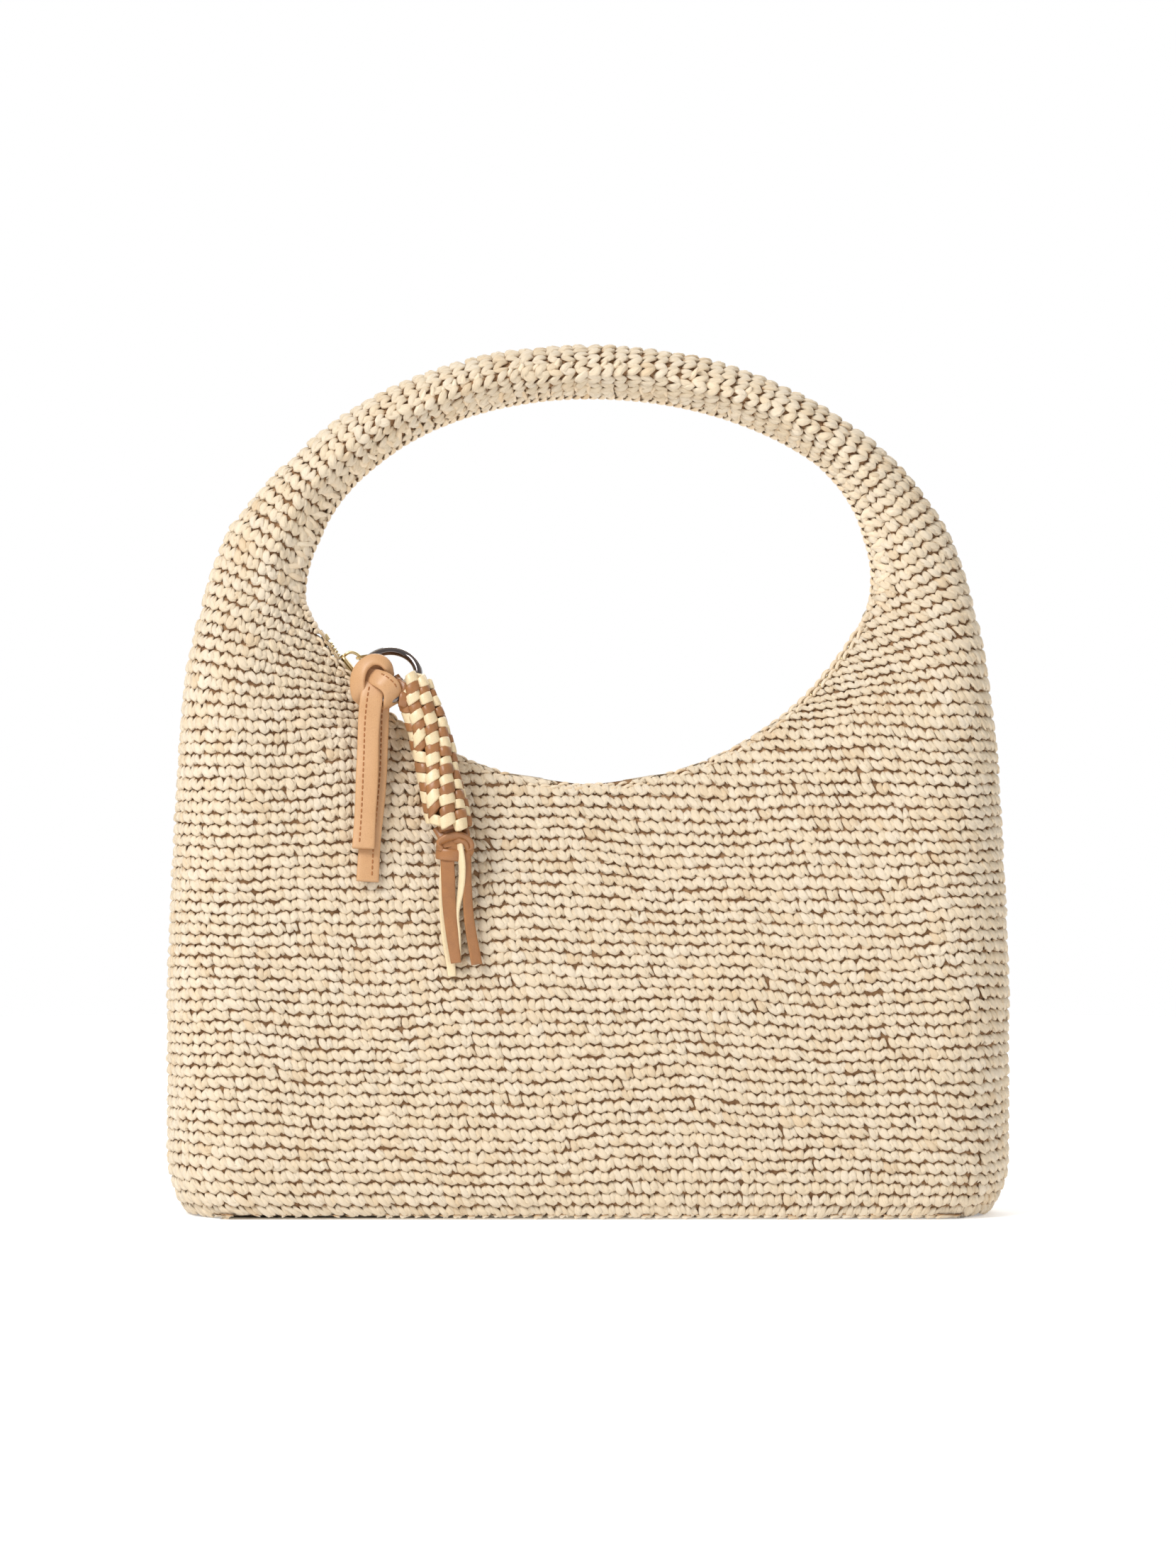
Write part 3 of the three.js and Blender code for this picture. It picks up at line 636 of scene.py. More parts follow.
def half_depth(row, across, inset):
    """Half depth of the shell along a row, for a layer inset from the outer surface."""
    start, inward, length = row
    x, z = start[0] + inward[0] * across, start[1] + inward[1] * across
    tube = smoothstep(start[1] + inward[1] * length, TUBE_LOW, TUBE_HIGH)
    from_arc = np.hypot(x, MOUTH_Z - z) - MOUTH_R
    from_edge = np.maximum(0, from_arc * (1 - tube) + (length - across) * tube)
    belly = LIP_DEPTH + (BELLY_FULL - LIP_DEPTH) * (1 - np.exp(-from_edge / BELLY_REACH))
    hem = HEM_DEPTH * (1 - np.sqrt(1 - np.maximum(0, (CORNER_H - z) / CORNER_H) ** 2))
    deep = (belly - hem) * (1 - tube) + TUBE_DEPTH * tube - inset
    bend = min(FOLD_R, length / 2)
    fold = rounded((across - inset) / (bend - inset / 2), 2.3 - 0.3 * tube)
    from_seam = np.clip((length - across - inset) / (length / 2), 0, 1)
    edge = 1 - tube + tube * np.interp(from_seam, FACET_AT, FACET_DEEP)
    return np.maximum(0, deep * fold * edge)


# how far the worked piece has settled off the even outline: outwards in mm at these heights in mm
SETTLE_Z = (186, 205, 235, 265, 295, 318, 330)
SETTLE_OUTER = {1: (0, -1.8, -2.0, 1.8, 2.6, 0.8, 0), -1: (0, -1.2, -1.8, 2.0, -0.6, 0, 0)}
SETTLE_INNER = {1: (0, 2.0, 1.2, 0.2, 3.8, 1.5, 0), -1: (0, 1.6, 2.6, -3.0, -3.6, -1.5, 0)}
SETTLE_FADE = 30 * MM  # the two sides' offsets fade out this far from the middle


def settled(points, share):
    """Moves surface points sideways as the bag has settled; share is 0 at the outer edge, 1 at the opening."""
    x, z = points[..., 0], points[..., 2] / MM
    out = np.zeros(x.shape)
    for side in (1, -1):
        outer = np.interp(z, SETTLE_Z, SETTLE_OUTER[side])
        inner = np.interp(z, SETTLE_Z, SETTLE_INNER[side])
        out = np.where(x * side > 0, side * (outer * (1 - share) + inner * share), out)
    moved = np.array(points)
    moved[..., 0] += out * MM * np.clip(np.abs(x) / SETTLE_FADE, 0, 1)
    return moved


def wandered(points):
    """Lets the level rows wander up and down, fading out at the base, the mouth and the handle."""
    x, y, z = points[..., 0], points[..., 1], points[..., 2]
    gap = np.hypot(x, z - MOUTH_Z) - MOUTH_R
    fade = smoothstep(z, 2 * MM, 26 * MM) * smoothstep(gap, 4 * MM, 26 * MM)
    fade = fade * (1 - smoothstep(z, 200 * MM, 240 * MM))
    wave = 1.1 * np.sin(34 * x + 21 * z + 30 * y + 0.6) + 0.7 * np.sin(71 * x - 38 * z + 25 * y + 2.0)
    wave = wave + 0.35 * np.sin(150 * x + 60 * z + 40 * y)
    moved = np.array(points)
    moved[..., 2] += wave * MM * fade
    return moved


ROW_POINTS = 161


def row_line(row, inset):
    """The row's line on the surface from the side fold inwards, as (n,3) with y positive, and its length."""
    start, inward, length = row
    spread = (1 - np.cos(np.linspace(0, np.pi, ROW_POINTS))) / 2
    across = inset + (length - inset) * spread
    x, z = start[0] + inward[0] * across, start[1] + inward[1] * across
    line = np.stack([x, half_depth(row, across, inset), z], -1)
    line[0, 1] = 0
    return line, run_along(line)


def horn_rows(extra=LIP_EXTRA):
    """Rows from the mouth's lowest point up to the top of the handle, for the right half."""
    count = round((SHOULDER_Z - MOUTH_LOW) / ROW_PITCH)
    rows = [level_row(z, extra) for z in np.linspace(MOUTH_LOW, SHOULDER_Z, count + 1)]
    angles = np.linspace(0, math.pi / 2, 2000)
    x = SHOULDER_HALF * np.cos(angles) ** (2 / CROWN_POWER)
    z = (CROWN_Z - SHOULDER_Z) * np.sin(angles) ** (2 / CROWN_POWER)
    run = run_along(np.stack([x, z], -1))
    steps = round(run[-1] / CROWN_PITCH)
    for angle in np.interp(np.linspace(0, run[-1], steps + 1)[1:], run, angles):
        rows.append(crown_row(min(float(angle), math.pi / 2 - 1e-4), extra))
    return rows


class Sheet:
    """A map of part of the surface: position and normal at (row, run), run in metres along the row."""

    def __init__(self, grid, runs, ends=None):
        self.grid, self.runs, self.ends = grid, runs, ends
        along = np.gradient(grid, axis=1)
        up = np.gradient(grid, axis=0)
        self.normals = unit(np.cross(unit(along), unit(up)))

    def at(self, row, run):
        """Positions and normals, bilinear between rows; rows past the ends are extrapolated."""
        rows, cols = self.grid.shape[:2]
        i = np.clip(np.floor(row).astype(int), 0, rows - 2)
        f = (row - i)[..., None]
        c = (run - self.runs[0]) / (self.runs[1] - self.runs[0])
        j = np.clip(np.floor(c).astype(int), 0, cols - 2)
        g = np.clip(c - j, 0, 1)[..., None]

        def mixed(field, fade):
            low = field[i, j] * (1 - g) + field[i, j + 1] * g
            high = field[i + 1, j] * (1 - g) + field[i + 1, j + 1] * g
            return low * (1 - fade) + high * fade

        return mixed(self.grid, f), unit(mixed(self.normals, np.clip(f, 0, 1)))

    def end(self, row):
        return np.interp(row, np.arange(len(self.ends)), self.ends)


BODY_QUARTER = 120  # columns from a side fold to the middle
HORN_HALF = 190  # columns from the fold to each lip
BEYOND = 0.3  # rows are read this far past the opening


def ring_sheet(inset):
    """The body below the mouth: from the left fold round the front, the right fold and the back."""
    grid = []
    for z in np.linspace(HEM_Z, MOUTH_LOW, BODY_ROWS + 1):
        right_back = resampled(row_line(level_row(z, LIP_EXTRA), inset)[0], BODY_QUARTER + 1)
        right_front = right_back * (1, -1, 1)
        left_front = right_back * (-1, -1, 1)
        left_back = right_back * (-1, 1, 1)
        grid.append(np.concatenate([left_front, right_front[::-1][1:], right_back[1:], left_back[::-1][1:]]))
    grid = wandered(np.array(grid))
    return Sheet(grid, np.linspace(0, 4 * BODY_STITCHES * STITCH_PITCH, grid.shape[1]))


def horn_sheet(inset, mirror):
    """One shoulder and arm: from lip over the outer fold to the other lip, run 0 at the fold."""
    reach = BODY_STITCHES * STITCH_PITCH + 6 * MM
    runs = np.linspace(-reach, reach, 2 * HORN_HALF + 1)
    flip = -1 if mirror else 1
    rows = horn_rows()
    # the lowest row is as many stitches long as the body's rows
    scale = BODY_STITCHES * STITCH_PITCH / row_line(rows[0], inset)[1][-1]
    grid, ends = [], []
    for row in rows:
        line, run = row_line(row, inset)
        run = run * scale
        end = run[-1]
        beyond = line[-1] + np.array([row[1][0], 0, row[1][1]]) * BEYOND
        half = sampled(np.abs(runs), np.append(run, end + BEYOND), np.concatenate([line, beyond[None]]))
        half[:, 1] *= np.where(runs < 0, -flip, flip)
        half[:, 0] *= flip
        grid.append(settled(half, np.clip(np.abs(runs) / end, 0, 1)))
        ends.append(end)
    return Sheet(wandered(np.array(grid)), runs, np.array(ends))


# ---------------------------------------------------------------- stitches
# a flattened, slightly folded strand: shares of the half width and of the half thickness
SECTION = np.array([(1, 0.05), (0.62, 0.95), (0.05, 0.62), (-0.6, 0.9), (-1, 0), (-0.5, -0.9), (0.5, -0.9)])

# strands of one stitch: (u, v) in stitch widths and row heights, then lift and half thickness in mm, half width
LEFT_LEG = [(-0.35, 0.56, 0.1, 0.18, 0.4), (-0.28, 0.24, 0.95, 0.29, 0.85), (-0.17, -0.05, 1.15, 0.32, 0.9),
            (0.02, -0.275, 1.05, 0.27, 0.9), (0.31, -0.25, 0.35, 0.13, 0.4)]
RIGHT_LEG = [(-0.27, -0.25, 0.25, 0.13, 0.4), (0.0, -0.27, 0.9, 0.25, 0.85), (0.19, -0.07, 1.0, 0.30, 0.85),
             (0.31, 0.22, 0.8, 0.29, 0.8), (0.37, 0.56, 0.1, 0.17, 0.35)]
ARM_LEFT_LEG = [(-0.36, 0.55, 0.1, 0.17, 0.4), (-0.30, 0.24, 0.95, 0.26, 0.9),
                (-0.20, -0.05, 1.25, 0.29, 1.0), (0.0, -0.28, 1.1, 0.24, 0.95), (0.22, -0.32, 0.3, 0.12, 0.4)]
ARM_RIGHT_LEG = [(-0.20, -0.32, 0.2, 0.12, 0.4), (0.02, -0.26, 0.9, 0.22, 0.85),
                 (0.20, -0.03, 1.05, 0.27, 0.95), (0.33, 0.26, 0.8, 0.26, 0.9), (0.38, 0.57, 0.1, 0.17, 0.4)]
CROSS_LEG = [(0.28, 0.50, 0.4, 0.11, 0.35), (0.40, 0.22, 1.2, 0.17, 0.6), (0.52, -0.06, 1.25, 0.17, 0.6),
             (0.65, -0.32, 0.45, 0.11, 0.35)]


def leg_template(line, rings):
    """A strand of a stitch: points (u, v, h) with h in metres, fibre coordinates, how far it is left free of
    painted shade (low parts are shaded), faces.
    """
    t = np.linspace(0, 1, rings)
    u, v, lift, half_width, half_thick = sampled(t, np.linspace(0, 1, len(line)), np.array(line)).T
    along = unit(np.stack([np.gradient(u), np.gradient(v)], -1))
    wide = half_width[:, None] * SECTION[None, :, 0]
    points = np.stack([
        u[:, None] + along[:, None, 1] * wide,
        v[:, None] - along[:, None, 0] * wide * 1.1,
        (lift[:, None] + SECTION[None, :, 1] * half_thick[:, None]) * MM,
    ], -1).reshape(-1, 3)
    tips = np.array([(u[i], v[i], lift[i] * MM) for i in (0, -1)])
    points = np.concatenate([points, tips])
    around = np.linspace(0, 2, len(SECTION))
    strand = np.stack(np.broadcast_arrays(t[:, None], around[None]), -1).reshape(-1, 2)
    strand = np.concatenate([strand, [[0, 0], [1, 0]]])
    # painted shade mask: the lower a part of the strand lies, the nearer 0, and the darker brown it is painted
    unshaded_share = np.interp(points[:, 2], [-0.1 * MM, 1.0 * MM], [0, 1])
    return points, strand, unshaded_share, tube_faces(rings, len(SECTION))


LEGS = (leg_template(RIGHT_LEG, 6), leg_template(LEFT_LEG, 6), leg_template(CROSS_LEG, 4))
ARM_LEGS = (leg_template(ARM_RIGHT_LEG, 6), leg_template(ARM_LEFT_LEG, 6))
BASE_LEGS = (leg_template(RIGHT_LEG, 4), leg_template(LEFT_LEG, 4))
LEG_LIFT = (0.0, 0.15 * MM, 0.1 * MM)  # so that a stitch's strands cross over each other


def lay_stitches(pile, sheet, rows, runs, pitch=STITCH_PITCH, size=1.0, lean=-0.1, legs=LEGS):
    """Lays a stitch at each (row, run), with small random changes."""
    count = len(rows)
    pitch = np.broadcast_to(pitch, count)[:, None]
    tone_stitch = np.clip(rng.normal(0.6, 0.2, count), 0, 1)
    swell = rng.normal(1.0, 0.07, (count, 3))
    skew = rng.normal(lean, 0.11, count)[:, None]
    nudge = rng.normal(0, 0.03, (count, 2))
    lift = rng.normal(0, 0.13, count) * MM
    for (points, strand, unshaded_share, leg_faces), leg_lift in zip(legs, LEG_LIFT):
        shape = points[None] * (size * swell[:, None])
        own = rng.normal(0, 0.045, (count, 2))
        fat = rng.normal(1.0, 0.10, (count, 1))
        middle = points[:, 0].mean() * size
        bow = rng.normal(0, 0.16, count)[:, None]
        u = middle + (shape[..., 0] - middle) * fat
        u = u + skew * shape[..., 1] + bow * (0.25 - shape[..., 1] ** 2)
        u = u + nudge[:, None, 0] + own[:, None, 0]
        v = shape[..., 1] + 0.05 * shape[..., 0] + nudge[:, None, 1] + own[:, None, 1] * 0.8
        roll = rng.normal(0, 0.35, (count, 1)) * MM
        h = shape[..., 2] + lift[:, None] + (shape[..., 0] - middle) * roll + leg_lift
        row, run = rows[:, None] + v, runs[:, None] + u * pitch
        if sheet.ends is not None:
            limit = sheet.end(row) + 0.2 * MM
            run = np.clip(run, -limit, limit)
        else:
            run = np.mod(run, sheet.runs[-1])
        place, normal = sheet.at(row, run)
        placed = place + normal * h[..., None]
        tone = np.clip(tone_stitch + rng.normal(0, 0.1, count), 0, 1)
        offsets = (np.arange(count) * len(points))[:, None, None]
        faces = np.where(leg_faces[None] < 0, -1, leg_faces[None] + offsets).reshape(-1, 4)
        fibres = strand[None] + rng.uniform(0, 40, (count, 1, 2))
        tones = np.repeat(tone, len(points))
        pile.add(placed.reshape(-1, 3), faces, fibres.reshape(-1, 2), tones, np.tile(unshaded_share, count))


def even_stitches(rows, count):
    """Stitch places on rows of count stitches, each row drifting a little further along."""
    runs = [(np.arange(count) + 0.5 + (DRIFT * row) % 1.0) * STITCH_PITCH for row in rows]
    return np.repeat(np.array(rows) + 0.5, count), np.concatenate(runs)


def horn_stitches(sheet, rows):
    """Stitch places and pitches on a shoulder and arm; the stitches get narrower towards the handle."""
    at_rows, at_runs, pitches = [], [], []
    for row in rows:
        end = float(sheet.end(row + 0.5))
        pitch = float(np.interp(row, HORN_PITCH_ROWS, HORN_PITCHES))
        most = int(end / pitch) + 2
        runs = (np.arange(-most, most + 1) + 0.5 + (DRIFT * (BODY_ROWS + row)) % 1.0) * pitch
        runs = runs[np.abs(runs) < end + 0.15 * pitch]
        at_rows.append(np.full(len(runs), row + 0.5))
        at_runs.append(runs)
        pitches.append(np.full(len(runs), pitch))
    return np.concatenate(at_rows), np.concatenate(at_runs), np.concatenate(pitches)


def add_painted_shade_backing(pile, grid, normals):
    """The closed layer that shows between the stitches, dark brown as painted shade in the gaps."""
    pile.add_skin(grid, normals, 0.15 * MM, -0.9 * MM, 1, 0.0)


BODY_BANDS = ("low", "middle", "high", "top")


def make_body():
    """Front and back of the body below the mouth, in four bands each, all riding on the bag."""
    sheet = ring_sheet(YARN_INSET)
    half = 2 * BODY_STITCHES * STITCH_PITCH
    middle = (sheet.grid.shape[1] - 1) // 2
    cuts = [BODY_ROWS * k // len(BODY_BANDS) for k in range(len(BODY_BANDS) + 1)]
    for label, back in (("front", False), ("back", True)):
        step = slice(middle * back, middle * (1 + back) + 1, 2)
        for part, rows in zip(BODY_BANDS, map(range, cuts, cuts[1:])):
            pile = Pile()
            at_rows, at_runs = even_stitches(rows, 4 * BODY_STITCHES)
            mine = (np.mod(at_runs, 2 * half) >= half) == back
            lay_stitches(pile, sheet, at_rows[mine], at_runs[mine])
            band = slice(rows[0], rows[-1] + 2)
            add_painted_shade_backing(pile, sheet.grid[band, step], sheet.normals[band, step])
            finish_piece(pile, f"crochet_{label}_{part}", [RAFFIA, PAINTED_SHADE_BACKING], "bag", "raffia",
                         f"raffia_{label}_wall")


# pieces of a shoulder and arm from below: first row, stitch size, lean, strands
HORN_PIECES = (
    ("shoulder_low", 0, 1, -0.1, LEGS), ("shoulder_high", 14, 1, -0.12, LEGS),
    ("arm", 28, 1.07, -0.2, ARM_LEGS), ("crown", None, 1.07, -0.26, ARM_LEGS),
)
HORN_COLUMNS = 61


def make_horns():
    """Both shoulders and arms. The lower pieces stay where they are, unattached; the upper ones ride on the
    handle.
    """
    for label, mirror in (("right", False), ("left", True)):
        sheet = horn_sheet(YARN_INSET, mirror)
        rows = len(sheet.ends) - 1
        # the crown starts halfway between the arm's first row and the top
        starts = [(28 + rows) // 2 if piece[1] is None else piece[1] for piece in HORN_PIECES]
        for (part, _, size, lean, legs), low, high in zip(HORN_PIECES, starts, starts[1:] + [rows]):
            pile = Pile()
            at_rows, at_runs, pitches = horn_stitches(sheet, range(low, high))
            lay_stitches(pile, sheet, at_rows, at_runs, pitches, size, lean, legs)
            band = np.repeat(np.arange(low, high + 1.0)[:, None], HORN_COLUMNS, 1)
            add_painted_shade_backing(pile, *sheet.at(band, sheet.end(band) * np.linspace(-1, 1, HORN_COLUMNS)[None]))
            lowest = min(points[:, 2].min() for points in pile.points)
            bend = HANDLE_BEND if lowest <= BEND_HIGH else None
            finish_piece(pile, f"crochet_{label}_{part}", [RAFFIA, PAINTED_SHADE_BACKING], "handle", "raffia",
                         f"handle_{label}_arm", "handle_join", bend=bend)


# ---------------------------------------------------------------- the lip and the handle's seam
LIP_R = MOUTH_R + 1.5 * MM
LIP_REACH = math.radians(60)
LIP_PITCH = 4.6 * MM
# how far off the middle each course lies, and how far outside the lip's radius
LIP_COURSES = ((4.6 * MM, 0.5 * MM), (6.4 * MM, 1.9 * MM))


def on_mouth(angle, radius, y):
    """A point on an arc round the mouth's centre: angle 0 is its lowest point and turns to the right."""
    x, z = radius * np.sin(angle), MOUTH_Z - radius * np.cos(angle)
    return np.stack(np.broadcast_arrays(x, y, z), -1)


def close_mouth_end(pile, side):
    """Strands laid across the mouth beyond the end of the zip, where its two edges meet."""
    t = np.linspace(-1, 1, 12)
    wide = np.interp(np.abs(t), [0, 0.7, 1], [2.9, 2.6, 1.2]) * MM
    for k in range(7):
        angle = side * (LIP_REACH + math.radians(0.3 + 1.15 * k))
        radius = LIP_R + (1.2 - 1.0 * (1 - t**2)) * MM + rng.normal(0, 0.15) * MM
        path = on_mouth(angle + rng.normal(0, 0.006) * t, radius, t * (7.4 - 0.5 * k) * MM)
        strap(pile, path, wide, 1.6 * MM, (math.cos(angle), 0, math.sin(angle)), sides=10, power=2.2)


def make_lip():
    """Two courses of slip stitches that bind the mouth's edge, each stitch one slanting strand."""
    count = int(2 * LIP_REACH * LIP_R / LIP_PITCH)
    half_angle = LIP_REACH / count
    t = np.linspace(-1, 1, 8)
    for label, side in (("front", -1), ("back", 1)):
        pile = Pile()
        for course, (off, outside) in enumerate(LIP_COURSES):
            for k in range(count):
                middle = -LIP_REACH + (k + 0.5 + 0.4 * course + rng.normal(0, 0.05)) * 2 * half_angle
                y = side * (off + (0.9 - 1.5 * (t + 1) / 2) * MM)
                radius = LIP_R + outside - (1 - t**2) * 0.9 * MM + rng.normal(0, 0.12) * MM
                path = on_mouth(middle + t * 0.972 * half_angle, radius, y)
                wide = np.interp(np.abs(t), [0, 0.6, 1], [2.3, 1.9, 0.7]) * MM * rng.normal(1, 0.07)
                strap(pile, path, wide, 1.3 * MM, (0, 1, 0.3 * side), random_tone(0.6), sides=10, power=2.2)
        close_mouth_end(pile, side)
        finish_piece(pile, f"lip_stitches_{label}", [EDGE], "bag", "raffia_edge", f"mouth_edging_{label}")


HANDLE_HALF = 18 * MM  # half the handle's height between its seam and its outer edge
SEAM_LOW = 232 * MM
WHIP_PITCH = 3.3 * MM
COVER_PITCH = 4.2 * MM
JOIN_LOW = 290 * MM
JOIN_LEFT, JOIN_RIGHT = -68 * MM, 58 * MM
CROWN_LOW, CROWN_HIGH = 298 * MM, 312 * MM  # the seam's strands get longer between these heights


def seam_frame(line):
    """Along the handle's inner seam, and away from the middle of its loop."""
    along = unit(np.gradient(line, axis=0))
    normal = unit(np.cross(along, [0, 1, 0]))
    inward = (normal * (np.array([0, 0, HAND_Z]) - line)).sum(1, keepdims=True) > 0
    return along, normal * np.where(inward, -1, 1)


def whip_seam(pile, line):
    """Whip stitches that close the handle's tube along its inner edge, at every second point of the line."""
    along, outward = seam_frame(line)
    t = np.linspace(-1, 1, 9)[:, None]
    for k in range(1, len(line) - 1, 2):
        path = line[k] + along[k] * t * 1.5 * MM + np.array([0, 1, 0]) * t * 2.6 * MM
        path = path - outward[k] * ((1 - t**2) * 1.9 - 0.9) * MM
        wide = np.interp(np.abs(t[:, 0]), [0, 0.6, 1], [2.4, 2.2, 0.9]) * MM * rng.normal(1, 0.06)
        strap(pile, path, wide, 1.0 * MM, along[k], random_tone(0.5), sides=10, power=2.2)


def cover_row_ends(pile, line):
    """Long slanting strands on both faces, with a second round on the crown, where the arms are joined."""
    count = len(line) - 1
    along, outward = seam_frame(line)
    rounds = [(k, 0) for k in range(count)]
    rounds += [(k, 1) for k in range(count) if JOIN_LEFT < line[k][0] < JOIN_RIGHT and line[k][2] > JOIN_LOW]
    t = np.linspace(0, 1, 9)
    lift = (0.9 * np.sin(np.pi * np.clip(t * 0.9 + 0.05, 0, 1)) - 0.4) * MM
    for k, second in rounds:
        top = smoothstep(line[k][2], CROWN_LOW, CROWN_HIGH)
        reach = (5.5 + 1.5 * top + rng.normal(0, 0.6 + 0.8 * second)) * MM
        slant = (2.6 + rng.normal(0, 0.7)) * MM * (-1 if rng.random() < 0.25 else 1)
        if second:
            slant = (-4.4 + rng.normal(0, 1.2)) * MM
        for side in (-1, 1):
            away = (0.5 + second * (4.8 + rng.normal(0, 0.7))) * MM + t * reach
            deep = np.interp(away / HANDLE_HALF, FACET_AT, FACET_DEEP) * TUBE_DEPTH
            path = line[k] + outward[k] * away[:, None] + along[k] * (t[:, None] - 0.4) * slant
            path[:, 1] += side * (deep + lift)
            wide = np.interp(t, [0, 0.3, 0.7, 1], [1.6, 2.7, 2.6, 0.9]) * MM * rng.normal(1, 0.1)
            tone = random_tone(0.6 + 0.2 * second)
            strap(pile, path, wide, (1.2 + 0.5 * second) * MM, along[k], tone, sides=9, power=2.2)


def make_handle_seam():
    ends = np.array([start + inward * length for start, inward, length in horn_rows()])
    ends = ends[ends[:, 1] > SEAM_LOW]
    right = np.stack([ends[:, 0], np.zeros(len(ends)), ends[:, 1]], -1)
    line = settled(np.concatenate([right, right[-2::-1] * (-1, 1, 1)]), 1.0)
    length = run_along(line)[-1]
    line = resampled(line, 2 * int(length / WHIP_PITCH) + 1)
    pile = Pile()
    whip_seam(pile, line)
    cover_row_ends(pile, resampled(line, int(length / COVER_PITCH) + 1))
    finish_piece(pile, "handle_seam_stitches", [EDGE], "handle", "raffia_edge", "handle_inner_seam",
                 bend=HANDLE_BEND)


# ---------------------------------------------------------------- base
BASE_COLUMNS = 161
BASE_Z = 2.2 * MM


def rounded_end(share, depth):
    """How much a flat panel's end draws in at a share of its half depth."""
    return depth * (1 - math.sqrt(1 - 0.92 * share**2))


def make_base():
    """The flat bottom, worked in straight rows, with its stitches just clear of the ground."""
    half_x = HALF_WIDTH - CORNER_W
    half_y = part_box("raffia_base")[1].y
    rows = int(2 * half_y / ROW_PITCH)
    xs = np.linspace(-1, 1, BASE_COLUMNS)
    grid = np.full((rows + 1, BASE_COLUMNS, 3), BASE_Z)
    for line, share in zip(grid, np.linspace(-1, 1, rows + 1)):
        line[:, 0] = xs * (half_x - rounded_end(share, 16 * MM))
        line[:, 1] = share * half_y
    sheet = Sheet(grid, np.linspace(0, 2 * half_x, BASE_COLUMNS))
    sheet.normals[:] = (0, 0, -1)
    pile = Pile()
    at_rows, at_runs = even_stitches(range(rows), int(2 * half_x / STITCH_PITCH))
    lay_stitches(pile, sheet, at_rows, at_runs, size=0.94, legs=BASE_LEGS)
    # a raffia-coloured plate above the stitches, a little smaller than they reach, dimmed a little by painted
    # shade (its share free of shade is 0.6)
    pile.add_skin(grid[:, ::4] * (0.97, 0.93, 1), np.array([0, 0, 1]), -0.3 * MM, 0.6 * MM, unshaded_share=0.6)
    finish_piece(pile, "base_crochet", [RAFFIA], "bag", "raffia", "raffia_base")


# ---------------------------------------------------------------- zip and slider
TOOTH_PITCH = 1.3 * MM
TOOTH_WIDE = (1.1, 1.15, 1.1, 0.8, 1.15, 0.7)  # from the tape to the tip, in mm
TOOTH_THICK = (2.4, 2.6, 2.3, 1.7, 1.8, 1.0)
TEETH_REACH = math.radians(57.5)
TOP_STOP = np.radians([-58.9, -58.3, -57.7])
BOTTOM_STOP = np.radians([57.8, 58.4, 59.0])
SLIDER_ANGLE = math.radians(-51)
SLIDER_TOWARD = np.array([math.cos(SLIDER_ANGLE), 0, math.sin(SLIDER_ANGLE)])
# how far along, in mm, and the share of the full width there
SLIDER_OUTLINE = [(-6.2, 0.55), (-4.5, 0.95), (-1.5, 1.0), (2.0, 0.92), (4.6, 0.8), (6.2, 0.5)]
ACROSS = (0, 1, 0)


def zip_radius(angle, sunk):
    """The zip lies sunk behind the lip and rises above it at the end where it opens."""
    return MOUTH_R + sunk - 2.3 * MM * smoothstep(-np.asarray(angle), math.radians(51), math.radians(55))


def make_zip():
    angles = np.linspace(-LIP_REACH, LIP_REACH, 121)
    for label, side in (("front", -1), ("back", 1)):
        pile = Pile()
        tape = on_mouth(angles, zip_radius(angles, 3.6 * MM), side * 4.6 * MM)
        strap(pile, tape, 4.3 * MM, 0.55 * MM, ACROSS, sides=12, power=6)
        # the corded edge that the teeth grip
        cord = on_mouth(angles, zip_radius(angles, 3.4 * MM), side * 2.3 * MM)
        strap(pile, cord, 0.9 * MM, 1.0 * MM, ACROSS, sides=10, power=2)
        finish_piece(pile, f"zip_tape_weave_{label}", [TAPE], "bag", "zip_tape", f"zip_tape_{label}")
        pile = Pile()
        y = side * np.linspace(2.5, 0.35, len(TOOTH_WIDE)) * MM
        # the two rows of teeth take turns
        for k in range(int(TEETH_REACH * MOUTH_R / TOOTH_PITCH)):
            angle = -TEETH_REACH + (2 * k + (1 if side > 0 else 2)) * TOOTH_PITCH / MOUTH_R
            if angle > TEETH_REACH:
                continue
            path = on_mouth(angle, zip_radius(angle, 3.2 * MM), y)
            tangent = (math.cos(angle), 0, math.sin(angle))
            wide, thick = np.array(TOOTH_WIDE) * MM, np.array(TOOTH_THICK) * MM
            strap(pile, path, wide, thick, tangent, sides=10, power=3.5)
        finish_piece(pile, f"zip_teeth_brass_{label}", [BRASS], "bag", "zip_metal", f"zip_teeth_{label}")
        pile = Pile()
        top = on_mouth(TOP_STOP, zip_radius(TOP_STOP, 3.2 * MM), side * 1.6 * MM)
        strap(pile, smooth_path(top, 8), 2.6 * MM, 2.6 * MM, ACROSS, sides=16, power=4)
        finish_piece(pile, f"zip_stop_{label}", [BRASS], "bag", "zip_metal", f"zip_top_stop_{label}")
    pile = Pile()
    bottom = on_mouth(BOTTOM_STOP, MOUTH_R + 3.2 * MM, 0.0)
    strap(pile, smooth_path(bottom, 8), 5.0 * MM, 2.8 * MM, ACROSS, power=4)
    finish_piece(pile, "zip_box_stop", [BRASS], "bag", "zip_metal", "zip_bottom_stop")


def by_slider(along, sunk, y=0.0):
    """Points by the slider: along runs towards the bag's middle, sunk goes down from the mouth, both in mm."""
    base = on_mouth(SLIDER_ANGLE, MOUTH_R + np.asarray(sunk) * MM, y * MM)
    return base + SLIDER_TOWARD * (np.asarray(along) * MM)[:, None]


